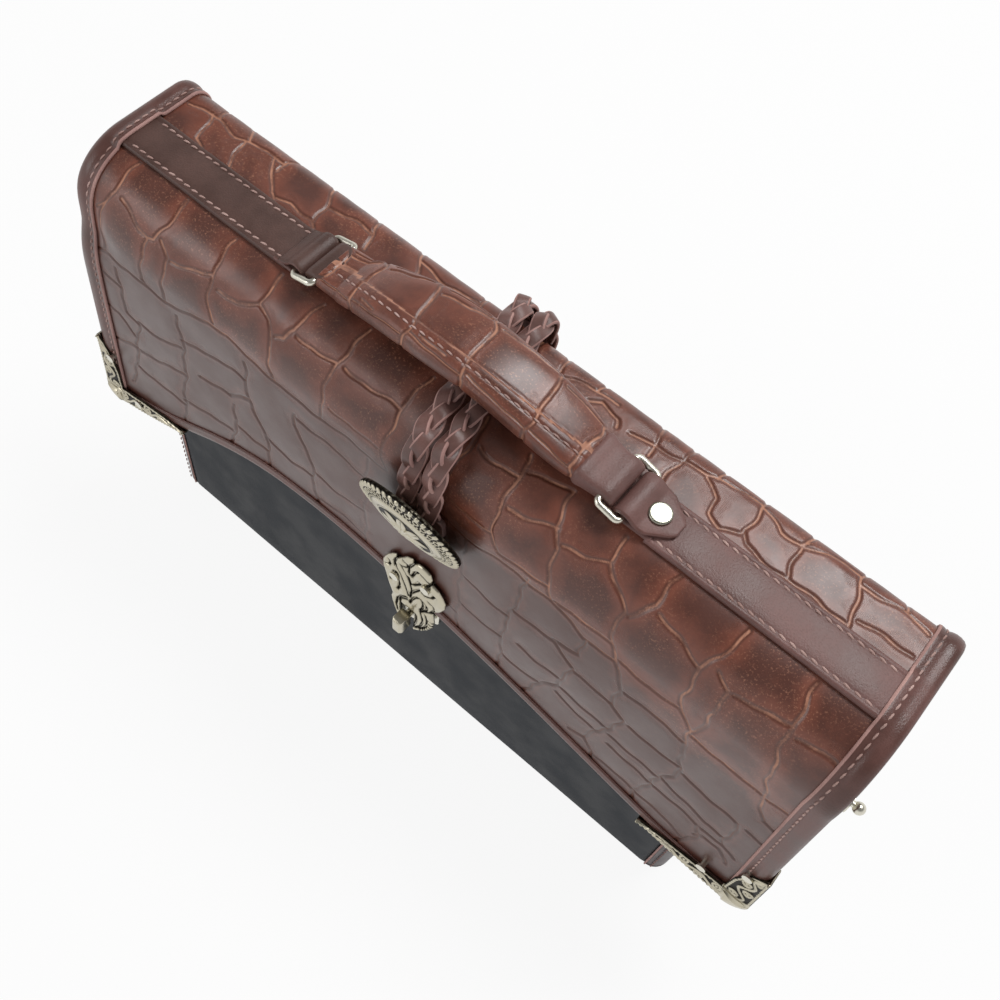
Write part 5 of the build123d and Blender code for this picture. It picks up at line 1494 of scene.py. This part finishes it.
for side in (-1, 1):
    line = np.array([(side * 166.0, 37.75, z) for z in np.linspace(131, 188, 40)])
    stitches("lip_stitches_" + ("left" if side < 0 else "right"), line, (0, 1, 0), "case",
             thread)

# %% [markdown]
# ## Side tabs
# Each tab is one band of plain leather bent along a line in the XZ plane, with round ends and a stitch row
# near both edges. `ribbon` draws it in the middle of the case, and it is then moved forward to its place.

# %% Side tabs
for side, name in ((-1, "left"), (1, "right")):
    corners = [(side * 176.2, 0, 92.5), (side * 176.2, 0, 124), (side * 204.9, 0, 159),
               (side * 204.9, 0, 180.6)]
    line = even(bend_line([tuple(c) for c in corners], 9.0), 1.0)
    z_at = line[:, 2]
    half = 9.0 * np.sqrt(np.clip(1 - np.clip((z_at - 172.5) / 8.4, 0, 1) ** 2.4, 0.05, 1))
    half = half * np.sqrt(np.clip(1 - np.clip((99.5 - z_at) / 7.4, 0, 1) ** 2.4, 0.08, 1))
    tab = ribbon("side_tab_band_" + name, line, half, 2.0, "case", strap_hide, edge_hide)
    tab.data.transform(Matrix.Translation((0, -13 * MM, 0)))
    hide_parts("side_tab_" + name)
    t, _, _ = along(line, (0, 1, 0))
    out = np.stack([t[:, 2], 0 * t[:, 0], -t[:, 0]], 1) * side
    for across in (-6.6, 6.6):
        row = line + out * 1.0 + [0, across - 13, 0]
        inner_rows = (z_at > 98) & (z_at < 174)
        stitches(f"tab_stitches_{name}_{'front' if across < 0 else 'back'}", row[inner_rows],
                 out[inner_rows], "case",
                 dark_thread, radius=0.36)
print("lip and tabs done")

# %% [markdown]
# ## Turn lock key
# The key's bar is cast with wide bevels, so light runs along its edges. It stands upright here, which lets
# the clasp plate's notch pass over it. The stem goes into the base and the key turns on it.

# %% Key
rings = []
for y, grow in [(-46.2, -2.1), (-46.2, -0.35), (-46.6, 0), (-52.5, 0), (-53.8, -0.8), (-54.1, -1.2),
                (-54.1, -2.4)]:
    ring = []
    for a in np.linspace(0, 2 * np.pi, 48, endpoint=False):
        c, s = math.cos(a), math.sin(a)
        ring.append((7.0 + (3.0 + grow) * math.copysign(abs(c) ** 0.13, c), y, 93.0 + (6.0 + grow)
                     * math.copysign(abs(s) ** 0.13, s)))
    rings.append(ring)
stem = [[(7.0 + r_ * math.cos(a), y, 93.0 + r_ * math.sin(a)) for a in np.linspace(0, 2 * np.pi, 48,
                                                                                   endpoint=False)]
        for y, r_ in [(-36.35, 3.0), (-38.74, 3.0), (-38.75, 2.0), (-46.2, 2.0)]]
points, faces = loft(stem + rings)
key = add_mesh("lock_bar", points, faces, antique, "turnlock_key",
               {"hollow": np.zeros(len(points))})
fix_normals(key)
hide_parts("turnlock_key")
print("key done")

# %% [markdown]
# ## Lights and the pale floor
# One soft lamp behind and above the right end, a weaker one from the front left, and a sky that is pale at
# the horizon and dimmer overhead. Together they light at a level where a colour comes out about as it is
# written. The sky is the same for every ray. The floor is white to the camera and in reflections and keeps a
# soft shadow.


# %% Lights
def lamp(name, place, aim, size, power):
    data = bpy.data.lights.new(name, "AREA")
    data.shape, data.size, data.size_y, data.energy = "RECTANGLE", size, size * 0.7, power
    made = bpy.data.objects.new(name, data)
    made.location = place
    made.rotation_euler = (Vector(aim) - Vector(place)).to_track_quat("-Z", "Y").to_euler()
    scene.collection.objects.link(made)
    return made


lamp("lamp_above", (0.25, 0.75, 1.75), (0, 0, 0.1), 0.9, 22)
lamp("lamp_front", (-1.1, -1.3, 1.2), (0, 0, 0.12), 1.0, 7)
world = bpy.data.worlds.new("studio")
scene.world = world
world.use_nodes = True
sky = world.node_tree
sky_light = sky.nodes["Background"]
aim = node(sky, "SeparateXYZ", {0: node(sky, "TexCoord").outputs["Generated"]}).outputs[2]
sky.links.new(ramp(sky, aim, 0.16, 0.64, 0.99, 0.24), sky_light.inputs["Strength"])
sky_light.inputs["Color"].default_value = (1, 1, 1, 1)

floor_mesh = bpy.data.meshes.new("floor")
floor_mesh.from_pydata([(-4, -4, -0.0004), (4, -4, -0.0004), (4, 4, -0.0004), (-4, 4, -0.0004)], [],
                       [(0, 1, 2, 3)])
floor = bpy.data.objects.new("floor", floor_mesh)
scene.collection.objects.link(floor)
floor_paint = bpy.data.materials.new("floor_paint")
floor_paint.use_nodes = True
paint = floor_paint.node_tree
paint_shader = paint.nodes["Principled BSDF"]
paint_shader.inputs["Base Color"].default_value = (0.86, 0.86, 0.86, 1)
paint_shader.inputs["Roughness"].default_value = 0.9
paint_shader.inputs["Specular IOR Level"].default_value = 0.1
glow = node(paint, "Emission", {"Color": (1, 1, 1, 1), "Strength": 1.0})
path = node(paint, "LightPath")
direct = calc(paint, "MAXIMUM", path.outputs["Is Camera Ray"],
              calc(paint, "MAXIMUM", path.outputs["Is Glossy Ray"], path.outputs["Is Transmission Ray"]))
floor_mix = node(paint, "MixShader", {0: calc(paint, "MULTIPLY", direct, 0.90), 1: paint_shader.outputs[0],
                                      2: glow.outputs[0]})
paint.links.new(floor_mix.outputs[0], paint.nodes["Material Output"].inputs["Surface"])
floor_mesh.materials.append(floor_paint)

# %% [markdown]
# ## Metal and boards of the frame
# Rivets, rings, studs and the hidden boards keep the frame's own solids, so they only need a finish.

for cad_name, finish in {
    "front_board": board, "back_board": board, "base_board": board, "grip_core": board,
                         "strap_rivet": satin_metal,
    "ring_left": pale_metal, "ring_right": pale_metal, "concho_screw": pale_metal,
                         "turnlock_base": pale_metal,
    "turnlock_rivets": pale_metal, "clasp_rivets": pale_metal, "corner_rivets": pale_metal,
                         "stud_left": pale_metal,
    "stud_right": pale_metal, "tab_rivets": pale_metal,
}.items():
    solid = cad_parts[cad_name]
    solid.data.materials.clear()
    solid.data.materials.append(finish)
